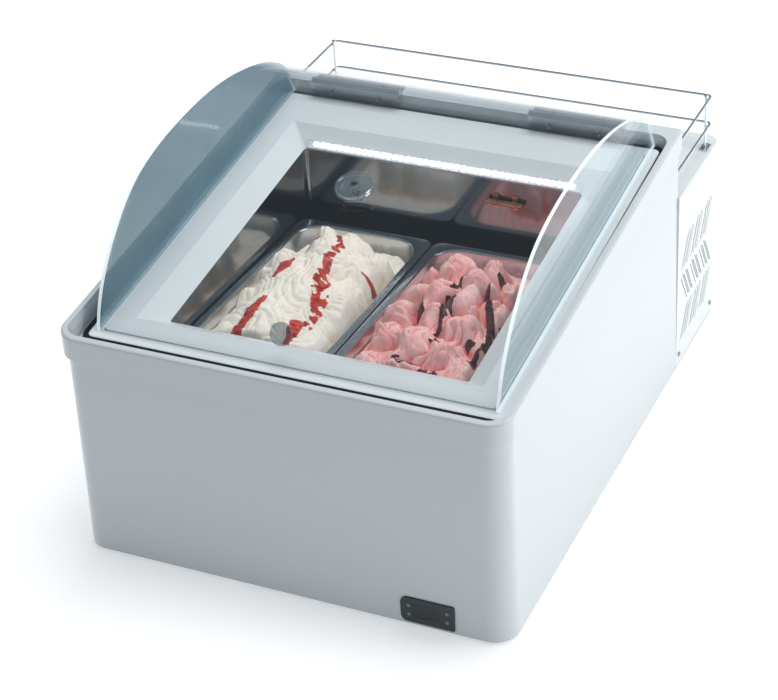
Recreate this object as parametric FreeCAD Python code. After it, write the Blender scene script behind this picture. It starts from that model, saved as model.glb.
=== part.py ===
import FreeCAD, Part
import math
import os
from FreeCAD import Rotation, Vector

# Countertop ice cream dipping cabinet. Millimetres, +Z up, +Y to the rear, +X to the right
# as seen from the front. The origin is on the counter under the middle of the cabinet.

# Pans and the tank they stand in
panWidth = 176.0            # outside the rim, across the cabinet
panLength = 325.0           # outside the rim, front to rear
panDepth = 150.0
panRim = 11.0               # width of the flat rim
panDraft = 7.0              # how much each wall leans in over the pan's depth
panCorner = 34.0
panSheet = 1.0
panRimCorner = 14.0
panRimSheet = 1.2
panFold = 4.0               # how far the rim's edge is folded down
panGap = 2.0                # between the two pans
fillBelowRim = 30.0         # where the mound starts to leave the pan's wall
moundCorners = (30, 26, 16)
panTilt = 2.8               # degrees, rims lower at the rear, towards the drain
panFrontHeight = 229.0      # rim above the counter at the front of the pans
panSeat = 0.3               # pans above the tank floor
tankSideGap = 1.4
tankFrontGap = 4.0
tankRearGap = 23.0
tankCorner = 6.0
tankSheet = 1.2
tankLip = 10.0
coilSpace = 12.0            # between the tank and the foam
drainX = 0.0
drainRadius = 9.0
drainSetback = 40.0         # drain in front of the tank's rear wall

# Well frame, gasket and tub rim, all on the sloping lid plane
lidPlaneHeight = 267.6      # lid plane above the counter at the gasket's front edge
lidSlope = 6.17             # degrees, up towards the rear
throatSplay = 26.0
throatDrop = 18.0
throatOvershoot = 1.04      # how far the throat's cutting shape goes past the lid plane
frameSide = 26.0
frameFront = 28.0
frameRear = 45.4
frameSheet = 2.5
frameThickness = 4.4
gasketWidth = 20.6
gasketThickness = 5.0
gasketSideGap = 3.0
frontLedge = 25.4
rearLedge = 2.0
rimThickness = 8.0
hingeBand = 18.0
rimFrontHeight = 287.0
rimSlope = 5.2              # degrees
rimEdge = 3.0               # rounding of the rim's edges
bandHeight = 28.0           # raised band below the rim
bandStep = 4.5
tubBottomInset = 1.5
tubWall = 4.0
tubCorner = 27.0
wellCorner = 3.0
frameCorner = 6.0
gasketCorner = 14.0
footHeight = 4.0
footInset = 42.0

# Lid
lidWall = 4.0
lidSeat = 0.3               # lid above the gasket when shut
lidOverlap = 5.6            # lid's outer face inside the gasket's outer side edges
lidFrontRise = 55.0         # height of the front corner of the arch above the lid plane
crownHeight = 422.0
hingeAxisLift = 4.2         # hinge axis above the rear rim
knuckleRadius = 4.0
pinRadius = 2.0
runningFit = 0.05
hingePlay = 0.4             # between the ends of the knuckles
hingeWidth = 117.0
hingeLeafSheet = 2.0
leftHingeOffset = -148.0
rightHingeOffset = 138.0
lidScrewShare = 0.62        # how far down the lid's straight rear its hinge screws sit
knobRadius = 21.0
knobThickness = 8.0
knobStandoff = 4.0
knobOffset = 18.0           # knob to the right of the middle
knobSetback = 194.0         # knob behind the cabinet's front face
bumperRadius = 13.0
bumperThickness = 3.0
bumperOffset = -14.0

# Machine housing behind the tub
housingDepth = 168.0
housingHeight = 246.0
housingInset = 1.5
housingSheet = 2.0
housingCorner = 18.0
shelfThickness = 3.0
louvreWidth = 2.6
louvrePitch = 6.0
louvreGroups = 3
louvresPerGroup = 5
louvreGroupGap = 7.0
louvreLean = 25.0
louvreRowHeight = 44.0
louvreRowGap = 7.0
louvreBottom = 34.0
grilleRows = 2
grilleSlots = 18
grillePitch = 9.0
grilleOffset = 40.0         # grille's middle to the left of the cabinet's middle
grilleBottom = 60.0
grilleSlotHeight = 50.0
inletSetIn = 78.0           # middle of the mains inlet in from the cabinet's right side

# Gallery rail on the housing
railWire = 1.6
railInset = 7.5
railSetback = 25.0
railLowerHeight = 276.0
railUpperHeight = 313.0
railBend = 6.0
railSocketDepth = 3.5

# Control on the front face
controlWidth = 63.0
controlHeight = 33.0
controlThickness = 8.0
controlInset = 64.0         # from the cabinet's right side to the control's right end
controlLift = 6.0           # above the counter

# Machine
compressorRadius = 50.0
compressorHeight = 138.0
compressorX = 118.0
condenserWidth = 124.0
condenserHeight = 128.0
condenserThickness = 38.0
condenserX = -196.0
condenserRows = 5
condenserColumn = 9.0       # each column of tubes from the condenser's middle
condenserTube = 4.0
finPitch = 5.0
fanRadius = 52.0
fanBlades = 5
coilTube = 4.0
suctionRadius = 4.5
capillaryRadius = 1.4
pipeBore = 5.5              # clearance hole for a pipe through the foam and the tub
dischargeRadius = 3.2
drierX = -30.0
drierLength = 78.0
coilPasses = 5
coilPitch = 22.0

# Light strip on the rear slope of the throat
ledStripWidth = 12.0
ledPitch = 8.0
ledSize = 4.8

# Sizes that follow
tankHalf = panWidth + panGap / 2 + tankSideGap
tankLength = tankFrontGap + panLength + tankRearGap
width = 2 * (tankHalf + throatSplay + frameSide + gasketWidth + gasketSideGap + rimThickness)
wellDepth = gasketWidth + frameFront + throatSplay + tankLength + throatSplay + frameRear + gasketWidth
tubDepth = rimThickness + frontLedge + wellDepth + rearLedge + hingeBand
depth = tubDepth + housingDepth
sideX = width / 2
frontY = -depth / 2
rearY = depth / 2
tubRearY = frontY + tubDepth
gasketFrontY = frontY + rimThickness + frontLedge
gasketRearY = gasketFrontY + wellDepth
frameFrontY = gasketFrontY + gasketWidth
frameRearY = gasketRearY - gasketWidth
openFrontY = frameFrontY + frameFront
openRearY = frameRearY - frameRear
tankFrontY = openFrontY + throatSplay
tankRearY = openRearY - throatSplay
bandFrontY = tubRearY - hingeBand
openHalf = tankHalf + throatSplay
frameHalf = openHalf + frameSide
gasketHalf = frameHalf + gasketWidth
recessHalf = gasketHalf + gasketSideGap
basePlate = 1.5
baseTop = footHeight + basePlate
slopeTan = math.tan(math.radians(lidSlope))
rimTan = math.tan(math.radians(rimSlope))
tiltTan = math.tan(math.radians(panTilt))
panFrontY = tankFrontY + tankFrontGap
drainY = tankRearY - drainSetback
panCentreX = panWidth / 2 + panGap / 2
parts = {}


def lidZ(y, drop=0.0):
    return lidPlaneHeight + slopeTan * (y - gasketFrontY) - drop


def rimZ(y, drop=0.0):
    return rimFrontHeight + rimTan * (y - frontY) - drop


def panRimZ(y, drop=0.0):
    return panFrontHeight - tiltTan * (y - panFrontY) - drop


def box(x0, x1, y0, y1, z0, z1):
    return Part.makeBox(x1 - x0, y1 - y0, z1 - z0, Vector(x0, y0, z0))


def rod(start, direction, radius, length):
    return Part.makeCylinder(radius, length, Vector(*start), Vector(*direction))


def bore(at, out, radius, reach):
    """Drill through a point, reaching the same way on both sides of it."""
    at, out = Vector(*at), Vector(*out).normalize()
    return Part.makeCylinder(radius, 2 * reach, at - out * reach, out)


def fuse(shapes):
    shapes = list(shapes)
    return shapes[0].multiFuse(shapes[1:]) if len(shapes) > 1 else shapes[0]


def rounded(x0, x1, y0, y1, z, radii):
    """Wire of a rectangle in plan; radii run front left, front right, rear right, rear left."""
    corners = [(x0, y0), (x1, y0), (x1, y1), (x0, y1)]
    if not isinstance(radii, (list, tuple)):
        radii = [radii] * 4
    edges = []
    ends = []
    for i, (x, y) in enumerate(corners):
        here = Vector(x, y, z)
        before = Vector(*corners[i - 1], z)
        after = Vector(*corners[(i + 1) % 4], z)
        back = (before - here).normalize() * radii[i]
        ahead = (after - here).normalize() * radii[i]
        if radii[i] > 0:
            centre = here + back + ahead
            middle = centre + (here - centre).normalize() * radii[i]
            edges.append(Part.Arc(here + back, middle, here + ahead).toShape())
        ends.append((here + back, here + ahead))
    for i in range(4):
        edges.append(Part.LineSegment(ends[i][1], ends[(i + 1) % 4][0]).toShape())
    return Part.Wire(Part.__sortEdges__(edges))


def plan(x, y0, y1, radii):
    """Face of a rounded rectangle centred across the cabinet."""
    return Part.Face(rounded(-x, x, y0, y1, 0, radii))


def between(face, lowAt, highAt):
    """Upright column over a plan face, cut by two planes that slope only front to rear."""
    bounds = face.BoundBox
    tall = face.extrude(Vector(0, 0, 2 * crownHeight))
    y0, y1 = bounds.YMin - 10, bounds.YMax + 10
    profile = [(y0, lowAt(y0)), (y1, lowAt(y1)), (y1, highAt(y1)), (y0, highAt(y0)), (y0, lowAt(y0))]
    outline = Part.makePolygon([Vector(bounds.XMin - 10, y, z) for y, z in profile])
    slab = Part.Face(outline).extrude(Vector(bounds.XLength + 20, 0, 0))
    return tall.common(slab)


def level(z):
    return lambda y: z


def slopedWire(x, y0, y1, radius, drop):
    """Rounded rectangle lying in the lid plane, lowered by drop."""
    stretch = 1 / math.cos(math.radians(lidSlope))
    wire = rounded(-x, x, 0, (y1 - y0) * stretch, 0, radius)
    wire.rotate(Vector(0, 0, 0), Vector(1, 0, 0), lidSlope)
    wire.translate(Vector(0, y0, lidZ(y0, drop)))
    return wire


def side(points, x0, x1):
    """Prism along X whose outline is given as (y, z) points."""
    wire = Part.makePolygon([Vector(x0, y, z) for y, z in list(points) + [points[0]]])
    return Part.Face(wire).extrude(Vector(x1 - x0, 0, 0))


def bentPath(points, bend):
    """Wire through the points with each corner rounded by a tangent arc of its own or a shared radius."""
    points = [Vector(*p) for p in points]
    edges = []
    start = points[0]
    bends = bend if isinstance(bend, list) else [bend] * (len(points) - 2)
    for before, here, after, bend in zip(points, points[1:], points[2:], bends):
        back = (before - here).normalize()
        ahead = (after - here).normalize()
        half = back.getAngle(ahead) / 2
        reach = bend / math.tan(half)
        a = here + back * reach
        b = here + ahead * reach
        centre = here + (back + ahead).normalize() * (bend / math.sin(half))
        middle = centre + (here - centre).normalize() * bend
        if (a - start).Length > 1e-6:
            edges.append(Part.LineSegment(start, a).toShape())
        edges.append(Part.Arc(a, middle, b).toShape())
        start = b
    edges.append(Part.LineSegment(start, points[-1]).toShape())
    return Part.Wire(edges)


def tube(points, radius, bend, bore=0.0):
    path = bentPath(points, bend)
    first = Vector(*points[0])
    direction = Vector(*points[1]) - first
    outer = path.makePipeShell([Part.Wire(Part.makeCircle(radius, first, direction))], True, False)
    if bore:
        inner = path.makePipeShell([Part.Wire(Part.makeCircle(bore, first, direction))], True, False)
        outer = outer.cut(inner)
    return outer


def screw(at, out, headRadius, shankRadius, shankLength, headHeight=None):
    """Pan-head screw with a cross recess; at is under the head, out points out of the hole."""
    headHeight = headHeight or headRadius * 0.62
    at = Vector(*at)
    out = Vector(*out).normalize()
    head = Part.makeCylinder(headRadius, headHeight, Vector(0, 0, 0))
    head = head.makeFillet(headHeight * 0.45, [e for e in head.Edges if e.BoundBox.ZMin > headHeight - 1e-6])
    arm = headRadius * 0.62
    slot = headRadius * 0.11
    for x, y in ((arm, slot), (slot, arm)):
        head = head.cut(box(-x, x, -y, y, headHeight * 0.45, headHeight + 1))
    shape = head.fuse(Part.makeCylinder(shankRadius, shankLength, Vector(0, 0, -shankLength)))
    shape.Placement = FreeCAD.Placement(at, Rotation(Vector(0, 0, 1), out))
    return shape


def roundEdges(shape, radius, wanted):
    """Fillet the edges that wanted accepts."""
    edges = [e for e in shape.Edges if wanted(e)]
    return shape.makeFillet(radius, edges) if edges else shape


def keep(name, *shapes):
    """Store one node; several shapes become a group of separate solids."""
    solids = [s for shape in shapes for s in shape.Solids]
    parts[name] = solids[0] if len(solids) == 1 else Part.makeCompound(solids)


# Tub and its insulation
def outerTub():
    front = [tubCorner, tubCorner, 0, 0]
    belowBand = lambda y: rimZ(y, bandHeight)
    topInset = bandStep
    low = rounded(-sideX + tubBottomInset, sideX - tubBottomInset, frontY + tubBottomInset, tubRearY,
                  footHeight, front)
    high = rounded(-sideX + topInset, sideX - topInset, frontY + topInset, tubRearY,
                   housingHeight + crownHeight / 4, front)
    body = Part.makeLoft([low, high], True, True)
    body = body.common(between(plan(sideX + 5, frontY - 5, tubRearY, 0), level(footHeight), belowBand))
    band = between(plan(sideX, frontY, tubRearY, front), belowBand, rimZ)
    band = roundEdges(band, rimEdge, lambda e: onPlane(e, rimZ) and e.BoundBox.YMin < tubRearY - 1)
    shell = body.fuse(band)
    ledge = lambda y: lidZ(y, gasketThickness)
    recess = between(plan(recessHalf, frontY + rimThickness, bandFrontY, tubCorner - rimThickness), ledge,
                     lambda y: lidZ(y) + 200)
    inner = between(innerPlan(0), level(footHeight), lambda y: lidZ(y, gasketThickness + tubWall))
    hole = between(throatPlan(wellCorner + frameSheet), level(footHeight), lambda y: lidZ(y) + 50)
    control = box(*controlBox(1.0, 30.0))
    shell = shell.cut(fuse([recess, inner])).cut(hole).cut(control)
    holes = [rod((x, tubRearY - railSocketDepth - 0.1, z), (0, 1, 0), railWire + 0.1, 20)
             for x in (-railX, railX) for z in (railLowerHeight, railUpperHeight)]
    holes += [rod((x, tubRearY - 20, z), (0, 1, 0), pipeBore, 40) for x, z in pipePlaces()]
    holes += [bore(at, out, 1.5, 14) for at, out in bodyHingeScrews()]
    slot = box(*baseSides(), tubRearY - 20, tubRearY + 1, footHeight - 1, baseTop + 0.2)
    return shell.cut(slot).cut(Part.makeCompound(holes)).removeSplitter()


def onPlane(edge, zAt):
    return all(abs(v.Z - zAt(v.Y)) < 1e-3 for v in edge.Vertexes)


def innerPlan(gap):
    """Plan of the space inside the tub, a gap inside its walls."""
    wall = tubWall + bandStep + gap
    corner = tubCorner - wall
    return plan(sideX - wall, frontY + wall, tubRearY - tubWall - gap, [corner, corner, 1, 1])


def controlBox(gap, reach):
    right = sideX - controlInset
    left = right - controlWidth
    low = controlLift + basePlate
    gap += 2
    return left + gap, right - gap, frontY - 5, frontY + reach, low + gap, low + controlHeight - gap


def tankFloorZ(y, drop=0.0):
    return panRimZ(y, panDepth / math.cos(math.radians(panTilt)) + panSeat + drop)


def tankPlan(grow):
    """Plan of the tank, grown all round."""
    return plan(tankHalf + grow, tankFrontY - grow, tankRearY + grow, tankCorner + grow)


def throatPlan(corner):
    """Plan of the room that the throat's outside needs."""
    grow = frameSheet + 1
    return plan(openHalf + grow, openFrontY - grow, openRearY + grow, corner)


def innerTank():
    top = lambda y: lidZ(y, throatDrop)
    outer = between(tankPlan(tankSheet), lambda y: tankFloorZ(y, tankSheet), top)
    lip = between(tankPlan(tankLip), lambda y: top(y) - tankSheet, top)
    hollow = between(tankPlan(0), tankFloorZ, lambda y: lidZ(y) + 20)
    drain = rod((drainX, drainY, tankFloorZ(drainY) - 10), (0, 0, 1), drainRadius, 20)
    return outer.fuse(lip).cut(hollow).cut(drain).removeSplitter()


def foamBlock():
    block = between(innerPlan(0.5), level(baseTop + 0.5), lambda y: lidZ(y, gasketThickness + tubWall + 0.5))
    tankRoom = between(tankPlan(coilSpace), lambda y: tankFloorZ(y, tankSheet + 0.3), lambda y: lidZ(y) + 20)
    throatRoom = between(throatPlan(wellCorner + 3), lambda y: lidZ(y, throatDrop + 3),
                         lambda y: lidZ(y) + 20)
    drain = rod((drainX, drainY, 0), (0, 0, 1), drainRadius + 2.5, 200)
    spigot = rod((drainX, drainY, tankFloorZ(drainY) - 8), (0, 0, 1), drainRadius + 7, 30)
    control = box(*controlBox(-2.0, 34.0))
    block = block.cut(fuse([tankRoom, throatRoom])).cut(drain.fuse(spigot)).cut(control)
    pipeHoles = [rod((x, tankRearY, z), (0, 1, 0), pipeBore, 300) for x, z in pipePlaces()]
    return block.cut(Part.makeCompound(pipeHoles)).removeSplitter()


def wellFrame():
    flange = between(plan(frameHalf - 0.3, frameFrontY + 0.3, frameRearY - 0.3, frameCorner),
                     lambda y: lidZ(y, frameThickness), lidZ)
    skin = throatFunnel(frameSheet).common(between(plan(sideX, frontY, rearY, 0), level(0), lidZ))
    return flange.fuse(skin).cut(throatFunnel(0)).removeSplitter()


def throatFunnel(grow):
    """Solid from the tank's lip up to a little above the lid plane, grown all round."""
    sections = []
    for share in (throatOvershoot, 0.0):
        out = throatSplay * share + grow
        y0, y1 = tankFrontY - out, tankRearY + out
        sections.append(slopedWire(tankHalf + out, y0, y1, wellCorner + grow, throatDrop * (1 - share)))
    return Part.makeLoft(sections, True, True)


def lidGasket():
    outline = plan(gasketHalf, gasketFrontY, gasketRearY, gasketCorner)
    ring = between(outline, lambda y: lidZ(y, gasketThickness), lidZ)
    hole = between(plan(frameHalf, frameFrontY, frameRearY, frameCorner), level(0), lambda y: lidZ(y) + 20)
    ring = roundEdges(ring, 1.5, lambda e: onPlane(e, lidZ))
    return ring.cut(hole)


def throatBox(x0, x1, up0, up1, out0, out1):
    """Block on the rear slope of the throat: up along the slope, out from it."""
    rise = throatDrop + slopeTan * throatSplay
    angle = math.degrees(math.atan2(rise, throatSplay))
    shape = box(x0, x1, up0, up1, out0, out1)
    shape.rotate(Vector(0, 0, 0), Vector(1, 0, 0), angle)
    shape.translate(Vector(0, tankRearY, lidZ(tankRearY, throatDrop)))
    return shape


def ledLight():
    """Light strip under the rear edge of the well: profile, board and its row of lamps."""
    ledHalf = tankHalf - 2
    low, high = 1.0, 1.0 + ledStripWidth
    floorOut, boardOut = 1.2, 2.2
    profile = throatBox(-ledHalf, ledHalf, low, high, 0.1, 2.6)
    channel = throatBox(-ledHalf + 1, ledHalf - 1, low + 1, high - 1, floorOut, 2.6)
    keep("led_profile", profile.cut(channel))
    keep("led_board", throatBox(-ledHalf + 1.2, ledHalf - 1.2, low + 1.2, high - 1.2, floorOut, boardOut))
    count = int((2 * ledHalf - 10) / ledPitch)
    half = ledSize / 2
    middle = (low + high) / 2
    lamps = []
    for i in range(count):
        x = (i - (count - 1) / 2) * ledPitch
        lamps.append(throatBox(x - half, x + half, middle - half, middle + half, boardOut, boardOut + 1.2))
    keep("led_lamps", *lamps)


def drainRod(z, radius, length):
    return rod((drainX, drainY, z), (0, 0, 1), radius, length)


def drainSet():
    """Spigot under the tank's drain hole and the plug pushed into its lower end."""
    top = tankFloorZ(drainY, tankSheet + 0.6)
    flange = drainRod(top - 2.5, drainRadius + 6, 2.3)
    pipe = drainRod(footHeight + 0.5, drainRadius + 2, top - footHeight - 1)
    keep("drain_spigot", flange.fuse(pipe).cut(drainRod(0, drainRadius - 1, top)))
    plug = drainRod(footHeight + 0.7, drainRadius - 1.1, 14)
    neck = drainRod(footHeight - 0.5, 6, 2)
    grip = drainRod(footHeight - 3, drainRadius + 1, 3)
    keep("drain_plug", fuse([plug, neck, grip]))


# Pans and ice cream
def panPlan(grow, share):
    """Plan of a pan's wall, share 0 at the rim and 1 at the floor."""
    lean = panDraft * share
    half = panWidth / 2 - panRim - lean + grow
    corner = panCorner - lean + grow
    return half, panRim + lean - grow, panLength - panRim - lean + grow, corner


def panLoft(grow, topLift, bottomLift):
    sections = []
    for share, z in ((0.0, topLift), (1.0, -panDepth + bottomLift)):
        half, y0, y1, corner = panPlan(grow, share)
        sections.append(rounded(-half, half, y0, y1, z, corner))
    return Part.makeLoft(sections, True, True)


def tiltPan(shape, x):
    """Move a pan from its own frame, front rim edge at y 0 and rim at z 0, into the tank."""
    shape.rotate(Vector(0, 0, 0), Vector(1, 0, 0), -panTilt)
    shape.translate(Vector(x, panFrontY, panFrontHeight))
    return shape


def rimSlab(inset, z0, z1):
    """Slab of the rim's outline in the pan's own frame."""
    half = panWidth / 2 - inset
    outline = rounded(-half, half, inset, panLength - inset, z0, panRimCorner - inset)
    return Part.Face(outline).extrude(Vector(0, 0, z1 - z0))


def pan(x):
    half, y0, y1, corner = panPlan(0, 0)
    rim = rimSlab(0, -panRimSheet, 0)
    fold = rimSlab(0, -panFold, -panRimSheet + 0.2).cut(rimSlab(panSheet, -panFold - 1, 0))
    mouth = Part.Face(rounded(-half, half, y0, y1, -0.01, corner)).extrude(Vector(0, 0, 2))
    shape = fuse([panLoft(panSheet, 0, 0), rim, fold])
    shape = shape.cut(panLoft(0, 0, panSheet)).cut(mouth)
    return tiltPan(shape.removeSplitter(), x)


def iceCream(x, frontShares, leftInsets, rightInsets, lengthShares, heights):
    """Ice cream filling a pan, with a mound of stacked rounded sections above the fill line."""
    fill = panLoft(-0.2, 0, panSheet + 0.2)
    low = -fillBelowRim
    half, y0, y1, corner = panPlan(-0.4, (fillBelowRim + 2) / panDepth)
    fill = fill.common(box(-panWidth, panWidth, 0, panLength, -panDepth, low))
    wires = [rounded(-half, half, y0, y1, low - 2, corner)]
    inner = panWidth / 2 - panRim
    sections = zip(leftInsets, rightInsets, frontShares, lengthShares, heights, moundCorners)
    for left, right, front, length, z, radius in sections:
        wires.append(rounded(left - inner, inner - right, panRim + front, panLength * length, z, radius))
    mound = Part.makeLoft(wires, True, True)
    return tiltPan(fill.fuse(mound).removeSplitter(), x)


# Lid
insetPoints = 24            # points that carry the inside of the lid's arch
lidHalf = gasketHalf - lidOverlap - gasketWidth * 0.45
lidFrontY = gasketFrontY + gasketWidth * 0.78
lidRearY = gasketRearY - 1.5
hingeY = bandFrontY - knuckleRadius - 0.6
hingeZ = rimZ(bandFrontY) + hingeAxisLift


def archPoints():
    """Outside of the lid seen from the side: foot, front corner, crown, rear corner, foot."""
    foot = lidZ(lidFrontY) + lidSeat
    rear = lidZ(lidRearY) + lidSeat
    span = lidRearY - lidFrontY
    crownRise = crownHeight - foot
    rise = lambda share: foot + crownRise * share
    along = lambda share: lidFrontY + span * share
    heel = (lidRearY - 11.5, rear + 22)
    crown = [(along(0.047), foot + lidFrontRise), (along(0.118), rise(0.625)), (along(0.214), rise(0.845)),
             (along(0.307), rise(0.942)), (along(0.45), crownHeight), (along(0.62), crownHeight - 0.8),
             (along(0.78), rise(0.90)), (along(0.895), rise(0.765)), (along(0.962), rise(0.60)), heel]
    return (lidFrontY, foot), crown, (lidRearY, rear)


def archCurve():
    """Outside of the lid from the front foot up over the crown to the heel, in the plane x 0."""
    frontFoot, crown = archPoints()[:2]
    curve = Part.BSplineCurve()
    curve.interpolate([Vector(0, y, z) for y, z in [frontFoot] + crown])
    return curve


def archNormal(curve, at):
    tangent = curve.tangent(at)[0]
    return Vector(0, -tangent.z, tangent.y)


def archFace(x, inset=0.0):
    """Face bounded by the lid's outside, or by the same line moved inwards, carried below the lid plane."""
    crown, rearFoot = archPoints()[1:]
    below = 30.0 + inset
    curve = archCurve()
    heelOut = Vector(*heelNormal())
    if inset:
        first, last = curve.FirstParameter, curve.LastParameter
        spots = [first + (last - first) * i / insetPoints for i in range(insetPoints + 1)]
        inner = [curve.value(at) - archNormal(curve, at) * inset for at in spots]
        atHeel = archNormal(curve, last)
        inner[-1] = curve.value(last) - (atHeel + heelOut) * (inset / (1 + atHeel.dot(heelOut)))
        curve = Part.BSplineCurve()
        curve.interpolate(inner)
    front = curve.value(curve.FirstParameter)
    heel = curve.value(curve.LastParameter)
    lean = (rearFoot[0] - crown[-1][0]) / (rearFoot[1] - crown[-1][1])
    drop = heel.z - rearFoot[1] + below
    path = [heel, Vector(0, heel.y - lean * drop, heel.z - drop), Vector(0, front.y, front.z - below), front]
    edges = [curve.toShape()] + [Part.LineSegment(a, b).toShape() for a, b in zip(path, path[1:])]
    face = Part.Face(Part.Wire(edges))
    face.translate(Vector(x, 0, 0))
    return face


def lidPieces():
    above = between(plan(sideX, frontY, rearY, 0), lambda y: lidZ(y) + lidSeat, level(2 * crownHeight - 5))
    innerHalf = lidHalf - lidWall
    across = Vector(2 * innerHalf, 0, 0)
    room = archFace(-innerHalf, lidWall).extrude(across)
    canopy = archFace(-innerHalf).extrude(across).cut(room).common(above)
    canopy = canopy.cut(bore(*knobPlace(), 2.2, 20))
    for x, at in lidScrewPlaces():
        canopy = canopy.cut(bore((x, *at), heelNormal(), 1.6, 8))
    keep("lid_canopy", canopy)
    cheeks = [archFace(x).extrude(Vector(lidWall, 0, 0)).common(above) for x in (-lidHalf, innerHalf)]
    keep("lid_cheeks", *cheeks)


def onArch(y):
    """Point and outward normal of the lid's outside at a distance along the cabinet."""
    curve = archCurve()
    cut = Part.LineSegment(Vector(0, y, lidPlaneHeight - 50), Vector(0, y, crownHeight + 50)).toShape()
    point = curve.toShape().distToShape(cut)[1][0][0]
    return point, archNormal(curve, curve.parameter(point))


def knobPlace():
    point, normal = onArch(frontY + knobSetback)
    return Vector(knobOffset, point.y, point.z), normal


def lidKnob():
    at, normal = knobPlace()
    standoff = Part.makeCylinder(9, knobStandoff)
    disc = Part.makeCylinder(knobRadius, knobThickness, Vector(0, 0, knobStandoff))
    disc = roundEdges(disc, 2.5, lambda e: e.BoundBox.ZMin > knobStandoff + knobThickness - 0.01)
    waist = Part.makeTorus(knobRadius + 1, 2.6, Vector(0, 0, knobStandoff + 3.4))
    knob = disc.fuse(standoff).cut(waist)
    bore = Part.makeCylinder(2.2, 40, Vector(0, 0, -5))
    sink = Part.makeCylinder(5.2, 5, Vector(0, 0, knobStandoff + knobThickness - 3))
    knob = knob.cut(bore).cut(sink)
    fixing = screw((0, 0, knobStandoff + knobThickness - 3), (0, 0, 1), 4.6, 1.9, 18)
    nut = Part.makeCylinder(4.5, 3.2, Vector(0, 0, -lidWall - 4.6)).fuse(
        Part.makeCylinder(7.5, 1.2, Vector(0, 0, -lidWall - 1.4)))
    nut = nut.cut(Part.makeCylinder(1.95, 20, Vector(0, 0, -15)))
    turn = Rotation(Vector(0, 0, 1), normal)
    for shape in (knob, fixing, nut):
        shape.Placement = FreeCAD.Placement(at + normal * 0.05, turn).multiply(shape.Placement)
    keep("lid_knob", knob)
    keep("knob_screw_and_nut", fixing, nut)


def lidBumper():
    """Small round finger pad on the front of the lid, near its foot."""
    point, normal = onArch(lidFrontY + (lidRearY - lidFrontY) * 0.024)
    pad = Part.makeCylinder(bumperRadius, bumperThickness)
    pad = roundEdges(pad, 1.2, lambda e: e.BoundBox.ZMin > bumperThickness - 0.01)
    pad.Placement = FreeCAD.Placement(Vector(bumperOffset, point.y, point.z) + normal * 0.3,
                                      Rotation(Vector(0, 0, 1), normal))
    keep("finger_pad", pad)


def heelNormal():
    crown, rearFoot = archPoints()[1:]
    heel = crown[-1]
    run = Vector(0, rearFoot[0] - heel[0], rearFoot[1] - heel[1]).normalize()
    return (0, -run.z, run.y)


def alongHeel(share, out=0.0):
    """Point (y, z) on the straight rear of the lid, share 0 at the heel and 1 at the foot."""
    crown, rearFoot = archPoints()[1:]
    heel = crown[-1]
    normal = heelNormal()
    return (heel[0] + (rearFoot[0] - heel[0]) * share + normal[1] * out,
            heel[1] + (rearFoot[1] - heel[1]) * share + normal[2] * out)


def bodyHingeScrews():
    """Places under the screw heads on the rear rim, with the way the screws point."""
    y = (bandFrontY + tubRearY) / 2 + 1
    return [((x, y, rimZ(y) + hingeLeafSheet + 0.2), (0, -rimTan, 1)) for x in hingeScrewOffsets()]


def hingeScrewOffsets():
    step = hingeWidth * 0.27
    return [centre + away for centre in (leftHingeOffset, rightHingeOffset) for away in (-step, step)]


def lidScrewPlaces():
    return [(x, alongHeel(lidScrewShare)) for x in hingeScrewOffsets()]


def hingeBarrel(x0, x1, radius):
    return rod((x0, hingeY, hingeZ), (1, 0, 0), radius, x1 - x0)


def bodyHingeLeaf(left, right, ends, middle):
    """Leaf on the rear rim, with a knuckle at each end."""
    front, rear = bandFrontY + 1, tubRearY - 2.5
    low, high = 0.1, hingeLeafSheet + 0.1
    leaf = side([(front, rimZ(front) + low), (rear, rimZ(rear) + low),
                 (rear, rimZ(rear) + high), (front, rimZ(front) + high)], left, right)
    under = hingeZ - knuckleRadius + 0.3
    join = bandFrontY + 3
    web = [(hingeY, under), (join, rimZ(join) + low), (join, rimZ(join) + high),
           (hingeY, under + hingeLeafSheet + 1)]
    for x0, x1 in ends:
        leaf = leaf.fuse(hingeBarrel(x0, x1, knuckleRadius)).fuse(side(web, x0, x1))
    leaf = leaf.cut(hingeBarrel(left - 5, right + 5, pinRadius))
    leaf = leaf.cut(hingeBarrel(middle[0] - hingePlay, middle[1] + hingePlay, knuckleRadius + 0.5))
    return leaf.cut(fuse([bore(at, out, 1.6, 20) for at, out in bodyHingeScrews()]))


def lidHingeLeaf(left, right, ends, middle):
    """Leaf on the rear of the lid, with one knuckle between the body's two."""
    sheet = hingeLeafSheet
    plate = side([alongHeel(0.15, 0.1), alongHeel(0.92, 0.1), alongHeel(0.92, sheet),
                  alongHeel(0.15, sheet)], left, right)
    web = side([alongHeel(0.18, sheet - 0.5), alongHeel(0.42, sheet - 0.5), (hingeY, hingeZ - 2.6),
                (hingeY, hingeZ + 1.0)], *middle)
    leaf = fuse([plate, web, hingeBarrel(*middle, knuckleRadius)])
    leaf = leaf.cut(hingeBarrel(left - 5, right + 5, pinRadius + runningFit))
    for x0, x1 in ends:
        leaf = leaf.cut(hingeBarrel(x0 - hingePlay, x1 + hingePlay, knuckleRadius + 0.5))
    return leaf.cut(fuse([bore((x, *at), heelNormal(), 1.6, 16) for x, at in lidScrewPlaces()]))


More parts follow.
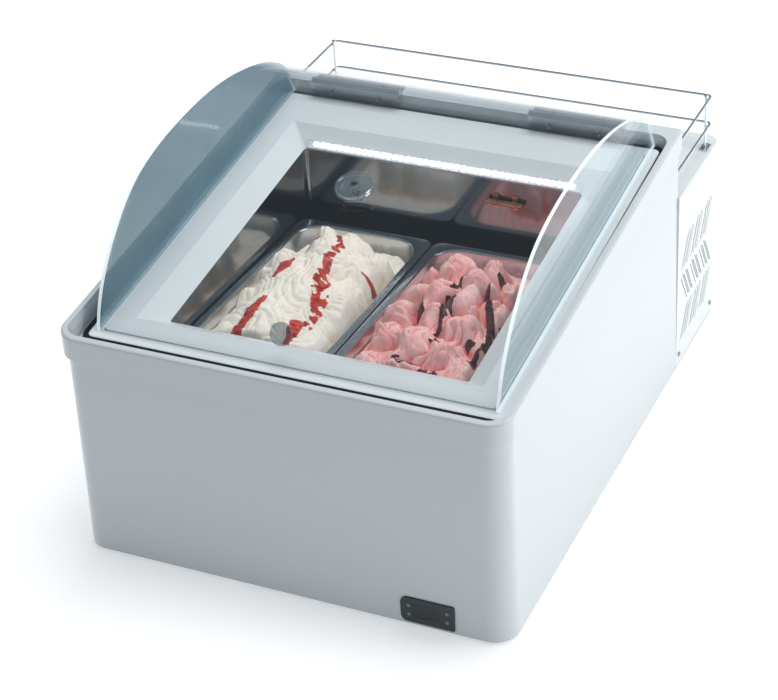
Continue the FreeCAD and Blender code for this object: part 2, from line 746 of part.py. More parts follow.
def hinges():
    """Two leaf hinges: one leaf on the rear rim, the other on the rear of the lid."""
    bodyLeaves, lidLeaves, pins = [], [], []
    knuckle = hingeWidth / 4
    for centre in (leftHingeOffset, rightHingeOffset):
        left, right = centre - hingeWidth / 2, centre + hingeWidth / 2
        ends = [(left, left + knuckle), (right - knuckle, right)]
        middle = (left + knuckle + hingePlay, right - knuckle - hingePlay)
        bodyLeaves.append(bodyHingeLeaf(left, right, ends, middle))
        lidLeaves.append(lidHingeLeaf(left, right, ends, middle))
        pins.append(hingeBarrel(left - 1, right + 1, pinRadius))
    bodyScrews = [screw(at, out, 3.4, 1.5, 12) for at, out in bodyHingeScrews()]
    spot = alongHeel(lidScrewShare, hingeLeafSheet + 0.1)
    lidScrews = [screw((x, *spot), heelNormal(), 3.4, 1.5, lidWall + hingeLeafSheet + 1)
                 for x in hingeScrewOffsets()]
    keep("hinge_leaves_body", *bodyLeaves)
    keep("hinge_leaves_lid", *lidLeaves)
    keep("hinge_pins", *pins)
    keep("hinge_screws_body", *bodyScrews)
    keep("hinge_screws_lid", *lidScrews)


# Housing and rail
railX = sideX - railInset
railRearY = rearY - railSetback
housingX = sideX - housingInset
shelfBottom = housingHeight - shelfThickness


def louvreCuts(x0, x1):
    """Three rows of slanted slots in alternating directions, in groups."""
    cuts = []
    run = louvrePitch * louvresPerGroup * louvreGroups + louvreGroupGap * (louvreGroups - 1)
    start = tubRearY + (housingDepth - housingCorner - run - louvreLean) * 0.62
    for row in range(3):
        z0 = louvreBottom + row * (louvreRowHeight + louvreRowGap)
        z1 = z0 + louvreRowHeight
        shift = (0.0, louvreLean) if row != 1 else (louvreLean, 0.0)
        for group in range(louvreGroups):
            for i in range(louvresPerGroup):
                y = start + (group * louvresPerGroup + i) * louvrePitch + group * louvreGroupGap
                stagger = 3.0 * (i % 2)
                low, high = y + shift[0], y + shift[1]
                cuts.append(side([(low, z0 + stagger), (low + louvreWidth, z0 + stagger),
                                  (high + louvreWidth, z1 - 3 + stagger), (high, z1 - 3 + stagger)], x0, x1))
    return cuts


def rearHousing():
    rear = [0, 0, housingCorner, housingCorner]
    outer = between(plan(housingX, tubRearY + 0.3, rearY, rear), level(footHeight + 0.5), level(shelfBottom))
    thin = [0, 0, housingCorner - housingSheet, housingCorner - housingSheet]
    inside = plan(housingX - housingSheet, tubRearY - 5, rearY - housingSheet, thin)
    shell = outer.cut(between(inside, level(0), level(housingHeight + 100)))
    cuts = louvreCuts(housingX - 10, housingX + 10) + louvreCuts(-housingX - 10, -housingX + 10)
    for row in range(grilleRows):
        for i in range(grilleSlots):
            x = (i - (grilleSlots - 1) / 2) * grillePitch - grilleOffset
            z0 = grilleBottom + row * (grilleSlotHeight + 12)
            cuts.append(box(x - 1.6, x + 1.6, rearY - 10, rearY + 10, z0, z0 + grilleSlotHeight))
    left, right, low, high = inletOpening()
    cuts.append(box(left, right, rearY - 10, rearY + 10, low, high))
    left, right, low, high = switchOpening()
    cuts.append(box(left, right, rearY - 10, rearY + 10, low, high))
    cuts += [bore(at, out, 1.5, 12) for at, out in sideScrewPlaces()]
    return shell.cut(Part.makeCompound(cuts))


def housingShelf():
    rear = [0, 0, housingCorner, housingCorner]
    top = level(housingHeight)
    plate = between(plan(housingX, tubRearY + 0.3, rearY, rear), level(shelfBottom + 0.1), top)
    plate = roundEdges(plate, 1.5, lambda e: onPlane(e, top) and e.BoundBox.YMax > tubRearY + 1)
    return plate.cut(fuse([rod((x, y, shelfBottom - 5), (0, 0, 1), 1.1, 20) for x, y in railScrewPlaces()]))


def galleryRail():
    """Two bent wires, open to the front, on two posts."""
    wires, posts, mounts = [], [], []
    for z in (railLowerHeight, railUpperHeight):
        points = [(-railX, tubRearY - railSocketDepth, z), (-railX, railRearY, z), (railX, railRearY, z),
                  (railX, tubRearY - railSocketDepth, z)]
        wires.append(tube(points, railWire, railBend))
    inset = railBend + 6
    for x in (-railX, railX):
        y = railRearY - inset
        inward = -1 if x > 0 else 1
        px = x + inward * 2 * railWire
        post = rod((px, y, housingHeight + 2), (0, 0, 1), railWire, railUpperHeight + 3 - housingHeight - 2)
        posts.append(post.fuse(Part.makeSphere(2.8, Vector(px, y, railUpperHeight + 4.5))))
        foot = box(px - 5, px + 5, y - 9, y + 9, housingHeight + 0.05, housingHeight + 2)
        for step in (-6, 6):
            foot = foot.cut(rod((px, y + step, housingHeight - 5), (0, 0, 1), 1.15, 12))
        mounts.append(foot)
    keep("rail_wires", *wires)
    keep("rail_posts", *posts)
    for x in (-railX, railX):
        for z in (railLowerHeight, railUpperHeight):
            ring = rod((x, tubRearY + 0.05, z), (0, 1, 0), railWire + 2.2, 2.0)
            mounts.append(ring.cut(rod((x, tubRearY - 5, z), (0, 1, 0), railWire + 0.05, 20)))
    keep("rail_mounts", *mounts)


def railScrewPlaces():
    y = railRearY - railBend - 6
    return [(x, y + step) for x in (-railX + 2 * railWire, railX - 2 * railWire) for step in (-6, 6)]


# Base
def basePan():
    left, right = baseSides()
    rear = housingCorner - housingSheet
    corners = [tubCorner - 9.5, tubCorner - 9.5, rear, rear]
    front = frontY + tubWall + bandStep + 1
    tray = Part.Face(rounded(left, right, front, rearY - housingSheet - 0.6, footHeight, corners))
    tray = tray.extrude(Vector(0, 0, basePlate))
    drain = rod((drainX, drainY, 0), (0, 0, 1), drainRadius + 2.5, 50)
    holes = [rod((x, y, 0), (0, 0, 1), 2.2, 20) for x, y in footPlaces()]
    return tray.cut(fuse([drain] + holes)).cut(box(*controlBox(-3.0, 36.0)))


def baseSides():
    inset = tubWall + bandStep + 1
    return -sideX + inset, sideX - inset


def footPlaces():
    rows = (frontY + 1.7 * footInset, rearY - footInset)
    return [(x, y) for x in (-sideX + footInset, sideX - footInset) for y in rows]


def sideScrewPlaces():
    return [((side * (housingX + 0.05), y, footHeight + 13), (side, 0, 0))
            for side in (-1, 1) for y in (tubRearY + 12, rearY - 27)]


def feetAndScrews():
    feet, screws = [], []
    for x, y in footPlaces():
        foot = Part.makeCone(15, 17, footHeight - 0.1, Vector(x, y, 0))
        foot = foot.cut(rod((x, y, -1), (0, 0, 1), 5, 3))
        feet.append(foot.cut(rod((x, y, 0), (0, 0, 1), 2.3, 20)))
        screws.append(screw((x, y, 2.0), (0, 0, -1), 4.2, 2.2, 3.8, 1.6))
    keep("rubber_feet", *feet)
    screws += [screw(at, out, 3.1, 1.5, 8, 1.3) for at, out in sideScrewPlaces()]
    for x, y in railScrewPlaces():
        screws.append(screw((x, y, housingHeight + 2.1), (0, 0, 1), 2.2, 1.1, 7))
    keep("case_screws", *screws)


# Control
def control():
    right = sideX - controlInset
    left = right - controlWidth
    low = controlLift + basePlate
    high = low + controlHeight
    face = frontY + tubBottomInset - 1.3
    bezel = box(left, right, face, face + 2.7, low, high)
    across = lambda e: e.BoundBox.XLength < 1e-6 and e.BoundBox.ZLength < 1e-6
    bezel = roundEdges(bezel, 8.0, lambda e: across(e) and e.BoundBox.XMax < left + 1)
    bezel = roundEdges(bezel, 2.5, lambda e: across(e) and e.BoundBox.XMin > right - 1)
    case = box(left + 4, right - 4, face + 2.0, face + 26, low + 4, high - 4)
    cavity = box(left + 5.5, right - 5.5, face + 4, face + 24.5, low + 5.5, high - 5.5)
    x0, x1 = left + controlWidth * 0.24, left + controlWidth * 0.72
    z0, z1 = low + controlHeight * 0.26, high - controlHeight * 0.2
    frame = bezel.fuse(case).cut(cavity).cut(box(x0, x1, face - 1, face + 5, z0, z1))
    columns = (left + controlWidth * 0.15, right - controlWidth * 0.14)
    rows = (low + controlHeight * 0.30, low + controlHeight * 0.66)
    buttons = {"button_up": (columns[0], rows[1]), "button_down": (columns[0], rows[0]),
               "button_set": (columns[1], rows[1]), "button_power": (columns[1], rows[0])}
    for name, (x, z) in buttons.items():
        frame = frame.cut(rod((x, face - 1, z), (0, 1, 0), 2.4, 8))
        stem = rod((x, face + 0.1, z), (0, 1, 0), 2.2, 5.4)
        collar = rod((x, face + 4.5, z), (0, 1, 0), 3.2, 1.0)
        keep(name, stem.fuse(collar))
    keep("control_bezel", frame)
    keep("control_window", box(x0 + 0.1, x1 - 0.1, face + 0.2, face + 2.2, z0 + 0.1, z1 - 0.1))
    board = box(left + 7, right - 7, face + 9.4, face + 11.1, low + 7, high - 7)
    digits = box(x0 + 1, x1 - 1, face + 5.0, face + 9.4, z0 + 1, z1 - 1)
    keep("display_module", board.fuse(digits))


# Machine
machineY = (tubRearY + rearY) / 2
compressorBottom = baseTop + 14
condenserBottom = baseTop + 8
drierBottom = baseTop + 40


def upright(x, y, z, radius, height):
    return Part.makeCylinder(radius, height, Vector(x, y, z))


def compressor():
    """Hermetic compressor on its plate, on four rubber grommets."""
    x, y = compressorX, machineY
    z0 = compressorBottom
    radius = compressorRadius
    can = upright(x, y, z0 + 6, radius, compressorHeight - 30)
    low = upright(x, y, z0, radius - 6, 12)
    dome = Part.makeSphere(radius * 1.35, Vector(x, y, z0 + compressorHeight - 24 - radius * 0.92))
    dome = dome.common(upright(x, y, z0 + compressorHeight - 40, radius - 0.5, 80))
    seam = upright(x, y, z0 + compressorHeight * 0.55, radius + 3, 4)
    keep("compressor_shell", fuse([can, low, dome, seam]))
    half = radius * 0.98
    plate = box(x - half - 14, x + half + 14, y - half, y + half, z0 - 3, z0 - 0.1)
    holes, grommets, bolts = [], [], []
    for boltX in (x - half - 4, x + half + 4):
        for boltY in (y - half + 10, y + half - 10):
            holes.append(upright(boltX, boltY, 0, 5.05, 60))
            grommet = fuse([upright(boltX, boltY, baseTop, 8, z0 - 3.1 - baseTop),
                            upright(boltX, boltY, z0 - 4, 5.0, 6), upright(boltX, boltY, z0, 7.5, 3)])
            grommets.append(grommet.cut(upright(boltX, boltY, 0, 3.1, 60)))
            bolts.append(screw((boltX, boltY, z0 + 3.1), (0, 0, 1), 6, 3.0, z0 + 3 - baseTop - 0.2))
    keep("compressor_plate", plate.cut(fuse(holes)))
    keep("compressor_grommets", *grommets)
    keep("compressor_bolts", *bolts)
    relay = box(x - radius - 32, x - radius + 8, y - 22, y + 22, z0 + 34, z0 + 88)
    keep("start_relay", relay.cut(upright(x, y, 0, radius + 3.5, 200)))


def condenser():
    x0, x1 = condenserX - condenserThickness / 2, condenserX + condenserThickness / 2
    y0, y1 = machineY - condenserWidth / 2, machineY + condenserWidth / 2
    z0 = condenserBottom
    z1 = z0 + condenserHeight
    fins = []
    count = int(condenserWidth / finPitch)
    step = condenserHeight / condenserRows
    heights = condenserHeights()
    columns = (condenserX - condenserColumn, condenserX + condenserColumn)
    holes = [rod((x, y0 - 20, z), (0, 1, 0), condenserTube + 0.05, condenserWidth + 40)
             for z in heights for x in columns]
    drill = Part.makeCompound(holes)
    for i in range(count + 1):
        y = y0 + i * condenserWidth / count
        fins.append(box(x0, x1, y - 0.4, y + 0.4, z0, z1).cut(drill))
    keep("condenser_fins", *fins)
    runs = []
    turn = step / 2 - 0.8
    for x in columns:
        points = []
        for i, z in enumerate(heights):
            ends = [(x, y0 - turn - 0.6, z), (x, y1 + turn + 0.6, z)]
            points += ends if i % 2 == 0 else ends[::-1]
        points[-1] = (x, y1 + 2, heights[-1])
        runs.append(tube(points, condenserTube, turn))
    keep("condenser_tubes", *runs)
    fan(x1 + 1.0, y0, y1, z0, z1)


def condenserHeights():
    """Heights of the condenser's tubes, lowest first."""
    step = condenserHeight / condenserRows
    return [condenserBottom + step * (i + 0.5) for i in range(condenserRows)]


def fan(front, y0, y1, z0, z1):
    """Shroud on the condenser's inner face, with the fan, its motor and the motor's bracket."""
    zc = (z0 + z1) / 2
    shroud = box(front, front + 16, y0, y1, z0 - 7.8, z1)
    shroud = shroud.cut(box(front - 1, front + 14.5, y0 + 1.5, y1 - 1.5, z0 + 1.5, z1 - 1.5))
    shroud = shroud.cut(rod((front - 5, machineY, zc), (1, 0, 0), fanRadius + 3, 60))
    ring = rod((front + 14.5, machineY, zc), (1, 0, 0), fanRadius + 4.5, 14)
    ring = ring.cut(rod((front, machineY, zc), (1, 0, 0), fanRadius + 3, 60))
    keep("fan_shroud", shroud.fuse(ring))
    fanX = front + 16
    hub = rod((fanX, machineY, zc), (1, 0, 0), 17, 12)
    blades = []
    for i in range(fanBlades):
        blade = box(-1.0, 1.0, -13, 13, 14, fanRadius)
        blade.rotate(Vector(0, 0, 0), Vector(0, 0, 1), 32)
        trim = Part.makeCylinder(fanRadius, 60, Vector(-30, 0, 0), Vector(1, 0, 0))
        blade = blade.common(trim)
        blade.rotate(Vector(0, 0, 0), Vector(1, 0, 0), 360 / fanBlades * i)
        blade.translate(Vector(fanX + 6, machineY, zc))
        blades.append(blade)
    bore = rod((fanX - 5, machineY, zc), (1, 0, 0), 3 + runningFit, 40)
    keep("fan_blades", fuse([hub] + blades).cut(bore))
    motorX = fanX + 20
    keep("fan_motor", fuse([rod((motorX, machineY, zc), (1, 0, 0), 24, 34),
                            rod((motorX - 3, machineY, zc), (1, 0, 0), 9, 4),
                            rod((motorX - 22, machineY, zc), (1, 0, 0), 3, 24)]))
    armY = fanRadius + 4.5
    arms = [box(motorX + 8, motorX + 11, machineY - armY - 4, machineY + armY + 4, zc - 5, zc + 5),
            box(front + 16.2, motorX + 11, machineY - armY - 4, machineY - armY - 1, zc - 5, zc + 5),
            box(front + 16.2, motorX + 11, machineY + armY + 1, machineY + armY + 4, zc - 5, zc + 5)]
    strap = fuse(arms).cut(rod((motorX - 5, machineY, zc), (1, 0, 0), 24.1, 60))
    keep("fan_bracket", strap)


coilReach = tankSheet + coilTube + 0.3
coilTop = lidZ(tankFrontY, throatDrop + 22)
coilEndY = tankRearY + coilSpace - 1


def pipePlaces():
    """Where the evaporator's two ends leave through the foam: (x, z) of inlet and outlet."""
    x = tankHalf + coilReach
    return [(-x, coilTop), (x, coilTop - (coilPasses - 1) * coilPitch)]


def evaporatorCoil():
    """Flat passes of tube round the front and sides of the tank, joined by turns at the rear."""
    x = tankHalf + coilReach
    yFront = tankFrontY - coilReach
    yRear = tankRearY - 30
    points, bends = [], []
    for i in range(coilPasses):
        z = coilTop - i * coilPitch
        lap = [(-x, yRear, z), (-x, yFront, z), (x, yFront, z), (x, yRear, z)]
        points += lap if i % 2 == 0 else lap[::-1]
        bends += [coilPitch / 2 - 0.5, tankCorner + coilReach, tankCorner + coilReach, coilPitch / 2 - 0.5]
    points[0] = (-x, coilEndY, coilTop)
    points[-1] = (points[-1][0], coilEndY, points[-1][2])
    keep("evaporator_coil", tube(points, coilTube, bends[1:-1]))


def pipes():
    """Lines that join the compressor, condenser, filter drier and evaporator."""
    lineY = tubRearY + 13
    inlet, outlet = pipePlaces()
    suctionZ = compressorBottom + 96
    suctionX = compressorX + compressorRadius * 0.5
    suction = [(outlet[0], coilEndY + 0.1, outlet[1]), (outlet[0], lineY, outlet[1]),
               (outlet[0], lineY, suctionZ), (suctionX, lineY, suctionZ),
               (suctionX, machineY - compressorRadius * 0.7, suctionZ)]
    keep("suction_line", tube(suction, suctionRadius, 8))
    top = condenserBottom + condenserHeight + 22
    edge = machineY + condenserWidth / 2
    dischargeX, dischargeZ = compressorX - 20, compressorBottom + 70
    hot, last = condenserX + condenserColumn, condenserHeights()[-1]
    discharge = [(dischargeX, machineY + compressorRadius * 0.75, dischargeZ),
                 (dischargeX, edge + 12, dischargeZ), (dischargeX, edge + 12, top), (hot, edge + 12, top),
                 (hot, edge + 12, last), (hot, edge + 2.1, last)]
    keep("discharge_line", tube(discharge, dischargeRadius, 7))
    for name in ("suction_line", "discharge_line"):
        parts["compressor_shell"] = parts["compressor_shell"].cut(parts[name])
    x, y, z = drierX, tubRearY + 30, drierBottom
    keep("filter_drier", fuse([upright(x, y, z, 11, drierLength),
                               Part.makeCone(11, 3, 10, Vector(x, y, z + drierLength)),
                               Part.makeCone(3, 11, 10, Vector(x, y, z - 10))]))
    bridge = z + drierLength + 34
    capillary = [(x, y, z + drierLength + 10.5), (x, y, bridge), (x - 30, y, bridge),
                 (x - 30, lineY, bridge), (x - 30, lineY, inlet[1]), (inlet[0], lineY, inlet[1]),
                 (inlet[0], coilEndY + 0.1, inlet[1])]
    keep("capillary_tube", tube(capillary, capillaryRadius, 8))


def inletOpening():
    x = sideX - inletSetIn
    return x - 14, x + 14, 58.0, 78.0


def switchOpening():
    x = sideX - inletSetIn
    return x - 9.5, x + 9.5, 92.0, 105.0


def powerEntry():
    """Appliance inlet and mains switch in the rear wall."""
    left, right, low, high = inletOpening()
    behind = rearY - housingSheet - 0.1
    flange = box(left - 9, right + 9, behind - 2.1, behind, low - 4, high + 4)
    body = box(left + 0.3, right - 0.3, rearY - 24, rearY - 0.5, low + 0.3, high - 0.3)
    cup = box(left + 2.5, right - 2.5, rearY - 18, rearY + 5, low + 2.5, high - 2.5)
    blades, slots = [], []
    middle, centre = (left + right) / 2, (low + high) / 2
    for dx, dz in ((-7, -1.5), (0, 2.5), (7, -1.5)):
        x, z = middle + dx, centre + dz
        blades.append(box(x - 1, x + 1, rearY - 27, rearY - 5, z - 2, z + 2))
        slots.append(box(x - 1, x + 1, rearY - 40, rearY, z - 2, z + 2))
    keep("power_inlet", flange.fuse(body).cut(cup).cut(fuse(slots)), *blades)
    left, right, low, high = switchOpening()
    body = box(left + 0.3, right - 0.3, rearY - 16, rearY - 0.5, low + 0.3, high - 0.3)
    flange = box(left - 2, right + 2, behind - 1.5, behind, low - 2, high + 2)
    cup = box(left + 0.8, right - 0.8, rearY - 12, rearY + 5, low + 0.8, high - 0.8)
    keep("switch_body", flange.fuse(body).cut(cup))
    half = (right - left) / 2 - 2.4
    pivot = (left + right) / 2
    outline = [(-half, -3.6), (0, -2.5), (half, -0.8), (half, -4.6), (0, -7.6), (-half, -6.4), (-half, -3.6)]
    rocker = Part.makePolygon([Vector(pivot + x, rearY + y, low + 2) for x, y in outline])
    keep("switch_rocker", Part.Face(rocker).extrude(Vector(0, 0, high - low - 4)))


def probe():
    """Temperature bulb clipped to the inside of the tank's rear wall."""
    y = tankRearY - 5
    z = lidZ(tankRearY, throatDrop + 26)
    bulb = rod((60, y, z), (1, 0, 0), 3.2, 46)
    clips = []
    for x in (68, 92):
        ring = rod((x, y, z), (1, 0, 0), 4.3, 6).cut(rod((x - 5, y, z), (1, 0, 0), 3.25, 20))
        foot = box(x, x + 6, y + 3.4, tankRearY - 0.05, z - 9, z + 9)
        clips.append(ring.fuse(foot))
    keep("temperature_probe", bulb, *clips)


keep("outer_tub", outerTub())
keep("foam_block", foamBlock())
keep("inner_tank", innerTank())
keep("well_frame", wellFrame())
keep("lid_gasket", lidGasket())
ledLight()
drainSet()
keep("pan_left", pan(-panCentreX))
keep("pan_right", pan(panCentreX))
keep("ice_cream_left", iceCream(-panCentreX, (4, 8, 30), (5, 14, 34), (3, 12, 30),
                                (0.89, 0.82, 0.70), (-8, 22, 44)))
keep("ice_cream_right", iceCream(panCentreX, (3, 8, 26), (5, 12, 30), (3, 8, 24),
                                 (0.92, 0.83, 0.74), (-8, 24, 46)))
lidPieces()
lidKnob()
lidBumper()
hinges()
keep("rear_housing", rearHousing())
keep("housing_shelf", housingShelf())
galleryRail()
keep("base_pan", basePan())
feetAndScrews()
control()
compressor()
condenser()
pipes()
evaporatorCoil()
powerEntry()
probe()

os.makedirs("parts", exist_ok=True)
for name, shape in parts.items():
    shape.exportStep(f"parts/{name}.step")
print(len(parts), "nodes, width", round(width, 1), "depth", round(depth, 1))
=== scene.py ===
import bmesh
import bpy
import math
import numpy as np
from mathutils import Matrix, Vector, noise


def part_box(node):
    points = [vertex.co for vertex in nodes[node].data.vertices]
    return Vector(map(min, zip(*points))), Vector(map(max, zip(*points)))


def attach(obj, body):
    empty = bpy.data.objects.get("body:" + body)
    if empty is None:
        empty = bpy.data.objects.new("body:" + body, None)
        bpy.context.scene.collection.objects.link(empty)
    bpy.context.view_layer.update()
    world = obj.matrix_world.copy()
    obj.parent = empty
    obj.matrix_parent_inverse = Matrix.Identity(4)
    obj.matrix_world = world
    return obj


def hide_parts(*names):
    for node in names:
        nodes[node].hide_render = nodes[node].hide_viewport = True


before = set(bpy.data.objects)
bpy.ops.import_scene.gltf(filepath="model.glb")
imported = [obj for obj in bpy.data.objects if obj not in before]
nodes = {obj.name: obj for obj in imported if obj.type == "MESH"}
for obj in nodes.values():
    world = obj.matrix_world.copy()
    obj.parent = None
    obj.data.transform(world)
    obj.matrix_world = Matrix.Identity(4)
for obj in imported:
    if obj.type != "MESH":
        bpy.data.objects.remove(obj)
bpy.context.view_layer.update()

mm = 0.001
print("frame loaded:", len(nodes), "nodes")


# camera: where it stands in metres, its turns in degrees, its lens and sensor in millimetres
camera = {"place": (0.9628, -2.0859, 1.5887), "heading": 25.63, "pitch": 32.94, "roll": -3.37,
          "lens": 105.4, "sensor": 36.0}


def makeCamera():
    heading, pitch, roll = (math.radians(camera[key]) for key in ("heading", "pitch", "roll"))
    flat = math.cos(pitch)
    back = Vector((math.sin(heading) * flat, -math.cos(heading) * flat, math.sin(pitch)))
    right = (-back).cross(Vector((0, 0, 1))).normalized()
    up = right.cross(-back)
    side = right * math.cos(roll) + up * math.sin(roll)
    top = up * math.cos(roll) - right * math.sin(roll)
    data = bpy.data.cameras.new("studioCamera")
    data.lens = camera["lens"]
    data.sensor_width = camera["sensor"]
    made = bpy.data.objects.new("studioCamera", data)
    bpy.context.scene.collection.objects.link(made)
    turn = Matrix((side, top, back)).transposed().to_4x4()
    made.matrix_world = Matrix.Translation(camera["place"]) @ turn
    bpy.context.scene.camera = made


# a shader socket that takes part in sums and products
class Wire:
    def __init__(self, tree, socket):
        self.tree = tree
        self.socket = socket

    def maths(self, operation, *values):
        node = self.tree.nodes.new("ShaderNodeMath")
        node.operation = operation
        for slot, value in zip(node.inputs, values):
            plug(self.tree, slot, value)
        return Wire(self.tree, node.outputs[0])

    def __add__(self, other):
        return self.maths("ADD", self, other)

    def __sub__(self, other):
        return self.maths("SUBTRACT", self, other)

    def __rsub__(self, other):
        return self.maths("SUBTRACT", other, self)

    def __mul__(self, other):
        return self.maths("MULTIPLY", self, other)

    def __pow__(self, other):
        return self.maths("POWER", self, other)

    def __abs__(self):
        return self.maths("ABSOLUTE", self)

    __radd__ = __add__
    __rmul__ = __mul__

    def ramp(self, low, high):          # 0 below low, 1 above high, smooth between
        node = self.tree.nodes.new("ShaderNodeMapRange")
        node.interpolation_type = "SMOOTHSTEP"
        for slot, value in zip(node.inputs, (self, low, high, 0.0, 1.0)):
            plug(self.tree, slot, value)
        return Wire(self.tree, node.outputs[0])


def plug(tree, slot, value):
    if isinstance(value, Wire):
        tree.links.new(value.socket, slot)
    elif slot.type == "RGBA" and len(value) == 3:
        slot.default_value = (*value, 1.0)
    else:
        slot.default_value = value


# one material: its nodes, the patterns they draw and the surface they end in
class Finish:
    def __init__(self, name):
        self.material = bpy.data.materials.new(name)
        self.material.use_nodes = True
        self.tree = self.material.node_tree
        self.tree.nodes.clear()
        self.at = self.node("ShaderNodeTexCoord", out="Object")

    def node(self, kind, settings=None, out=0, **sockets):
        node = self.tree.nodes.new(kind)
        for key, value in (settings or {}).items():
            setattr(node, key, value)
        for key, value in sockets.items():
            plug(self.tree, node.inputs[key.replace("_", " ")], value)
        return Wire(self.tree, node.outputs[out])

    def mix(self, factor, first, second):
        node = self.tree.nodes.new("ShaderNodeMix")
        node.data_type = "RGBA"
        for index, value in ((0, factor), (6, first), (7, second)):     # the colour sockets are 6 and 7
            plug(self.tree, node.inputs[index], value)
        return Wire(self.tree, node.outputs[2])

    def grain(self, scale, detail=3.0, roughness=0.5, stretch=None, distortion=0.0):
        where = self.at
        if stretch:
            where = self.node("ShaderNodeMapping", Vector=self.at, Scale=stretch)
        return self.node("ShaderNodeTexNoise", Vector=where, Scale=scale, Detail=detail,
                         Roughness=roughness, Distortion=distortion)

    def cells(self, scale):
        return self.node("ShaderNodeTexVoronoi", out="Distance", Vector=self.at, Scale=scale)

    def bump(self, height, strength, distance):
        return self.node("ShaderNodeBump", Height=height, Strength=strength, Distance=distance)

    def attribute(self, name):
        return self.node("ShaderNodeAttribute", {"attribute_name": name}, out="Fac")

    def blend(self, factor, first, second):
        node = self.tree.nodes.new("ShaderNodeMixShader")
        for slot, value in zip(node.inputs, (factor, first, second)):
            plug(self.tree, slot, value)
        return Wire(self.tree, node.outputs[0])

    def surface(self, **sockets):
        return self.node("ShaderNodeBsdfPrincipled", **sockets)

    def done(self, shader):
        out = self.tree.nodes.new("ShaderNodeOutputMaterial")
        self.tree.links.new(shader.socket, out.inputs["Surface"])
        return self.material


def shaded(tint, share):
    return tuple(c * share for c in tint)


# sprayed and polished: a soft orange peel under a thin coat, with a little dust
def glossShell(name, tint, roughness=0.16):
    f = Finish(name)
    cloud = f.grain(3.0, 2.0)
    peel = f.grain(420.0, 1.0)
    dust = f.grain(60.0, 4.0, 0.7).ramp(0.62, 0.86)
    base = f.mix(cloud * 0.25, tint, shaded(tint, 0.94))
    base = f.mix(dust * 0.05, base, (0.55, 0.55, 0.53))
    return f.done(f.surface(Base_Color=base, Roughness=roughness + dust * 0.12 + cloud * 0.04,
                            Coat_Weight=0.35, Coat_Roughness=0.05, Normal=f.bump(peel, 0.05, 0.0004)))


def moulded(name, tint, roughness=0.38, texture=900.0, strength=0.18):
    f = Finish(name)
    cloud = f.grain(12.0, 3.0)
    skin = f.grain(texture, 2.0, 0.6)
    base = f.mix(cloud * 0.5, tint, shaded(tint, 0.86))
    return f.done(f.surface(Base_Color=base, Roughness=roughness + skin * 0.1 - cloud * 0.05,
                            Normal=f.bump(skin, strength, 0.0002)))


def rubber(name, tint):
    f = Finish(name)
    bloom = f.grain(45.0, 4.0, 0.65).ramp(0.45, 0.8)
    skin = f.grain(1500.0, 1.0)
    base = f.mix(bloom * 0.35, tint, tuple(c + 0.02 for c in tint))
    return f.done(f.surface(Base_Color=base, Roughness=0.42 + bloom * 0.16,
                            Normal=f.bump(skin, 0.25, 0.0002)))


# fine lines that run along the axis with the smallest stretch
def brushed(name, tint, roughness, stretch, strength=0.05):
    f = Finish(name)
    lines = f.grain(260.0, 3.0, 0.6, stretch=stretch)
    smear = f.grain(9.0, 3.0, 0.55)
    base = f.mix(smear * 0.5, tint, shaded(tint, 0.82))
    return f.done(f.surface(Base_Color=base, Metallic=1.0, Roughness=roughness + lines * 0.06 + smear * 0.05,
                            Normal=f.bump(lines, strength, 0.0001)))


def plated(name, tint, roughness):
    f = Finish(name)
    haze = f.grain(35.0, 3.0)
    base = f.mix(haze * 0.3, tint, shaded(tint, 0.85))
    return f.done(f.surface(Base_Color=base, Metallic=1.0, Roughness=roughness + haze * 0.08,
                            Normal=f.bump(f.grain(300.0), 0.02, 0.0001)))


def galvanised(name):
    f = Finish(name)
    spangle = f.cells(90.0)
    base = f.mix(spangle * 1.2, (0.46, 0.48, 0.50), (0.66, 0.68, 0.69))
    return f.done(f.surface(Base_Color=base, Metallic=1.0, Roughness=0.32 + spangle * 0.2,
                            Normal=f.bump(spangle, 0.08, 0.0002)))


# clear sheet: it shines more at a slant, its cut edges may be frosted and glow with a painted highlight, and
# its left side may get a painted blue-grey shade
def acrylic(name, tint, haze, edge=0.0, paintedLeftShade=0.0):
    f = Finish(name)
    smear = f.grain(7.0, 4.0, 0.6).ramp(0.45, 0.75)
    wave = f.grain(5.0, 1.0)
    slant = f.node("ShaderNodeLayerWeight", out="Facing", Blend=0.5)
    gloss = slant ** 5.0 * 0.55 + 0.04
    clear = f.node("ShaderNodeBsdfTransparent", Color=tint)
    shine = f.surface(Base_Color=(0.93, 0.96, 0.98), Metallic=1.0, Roughness=0.03 + smear * 0.05,
                      Normal=f.bump(wave, 0.03, 0.002))
    skin = f.blend(gloss + haze + smear * 0.012, clear, shine)
    # painted shade: a blue-grey matte surface mixed over the left side, where the sheet looks darker when
    # seen through at a slant
    if paintedLeftShade:
        leftSide = (0.0 - f.node("ShaderNodeSeparateXYZ", Vector=f.at)).ramp(0.0, 0.1)
        paintedShadeTint = f.mix(smear, (0.12, 0.275, 0.35), (0.16, 0.33, 0.41))
        skin = f.blend(leftSide * paintedLeftShade, skin, f.surface(Base_Color=paintedShadeTint, Roughness=0.4))
    # painted highlight: the frosted cut edges also glow pale blue, standing in for light caught in the
    # sheet's edges; the frosting itself is real
    if edge:
        facing = f.node("ShaderNodeNewGeometry", out="True Normal")
        sideways = abs(f.node("ShaderNodeSeparateXYZ", Vector=facing))
        cut = (1.0 - sideways).ramp(0.5, 0.8)
        frostedGlowingEdge = f.surface(Base_Color=(0.86, 0.91, 0.93), Roughness=0.3 + smear * 0.2,
                            Emission_Color=(0.85, 0.92, 0.95), Emission_Strength=edge)
        skin = f.blend(cut * 0.7, skin, frostedGlowingEdge)
    return f.done(skin)


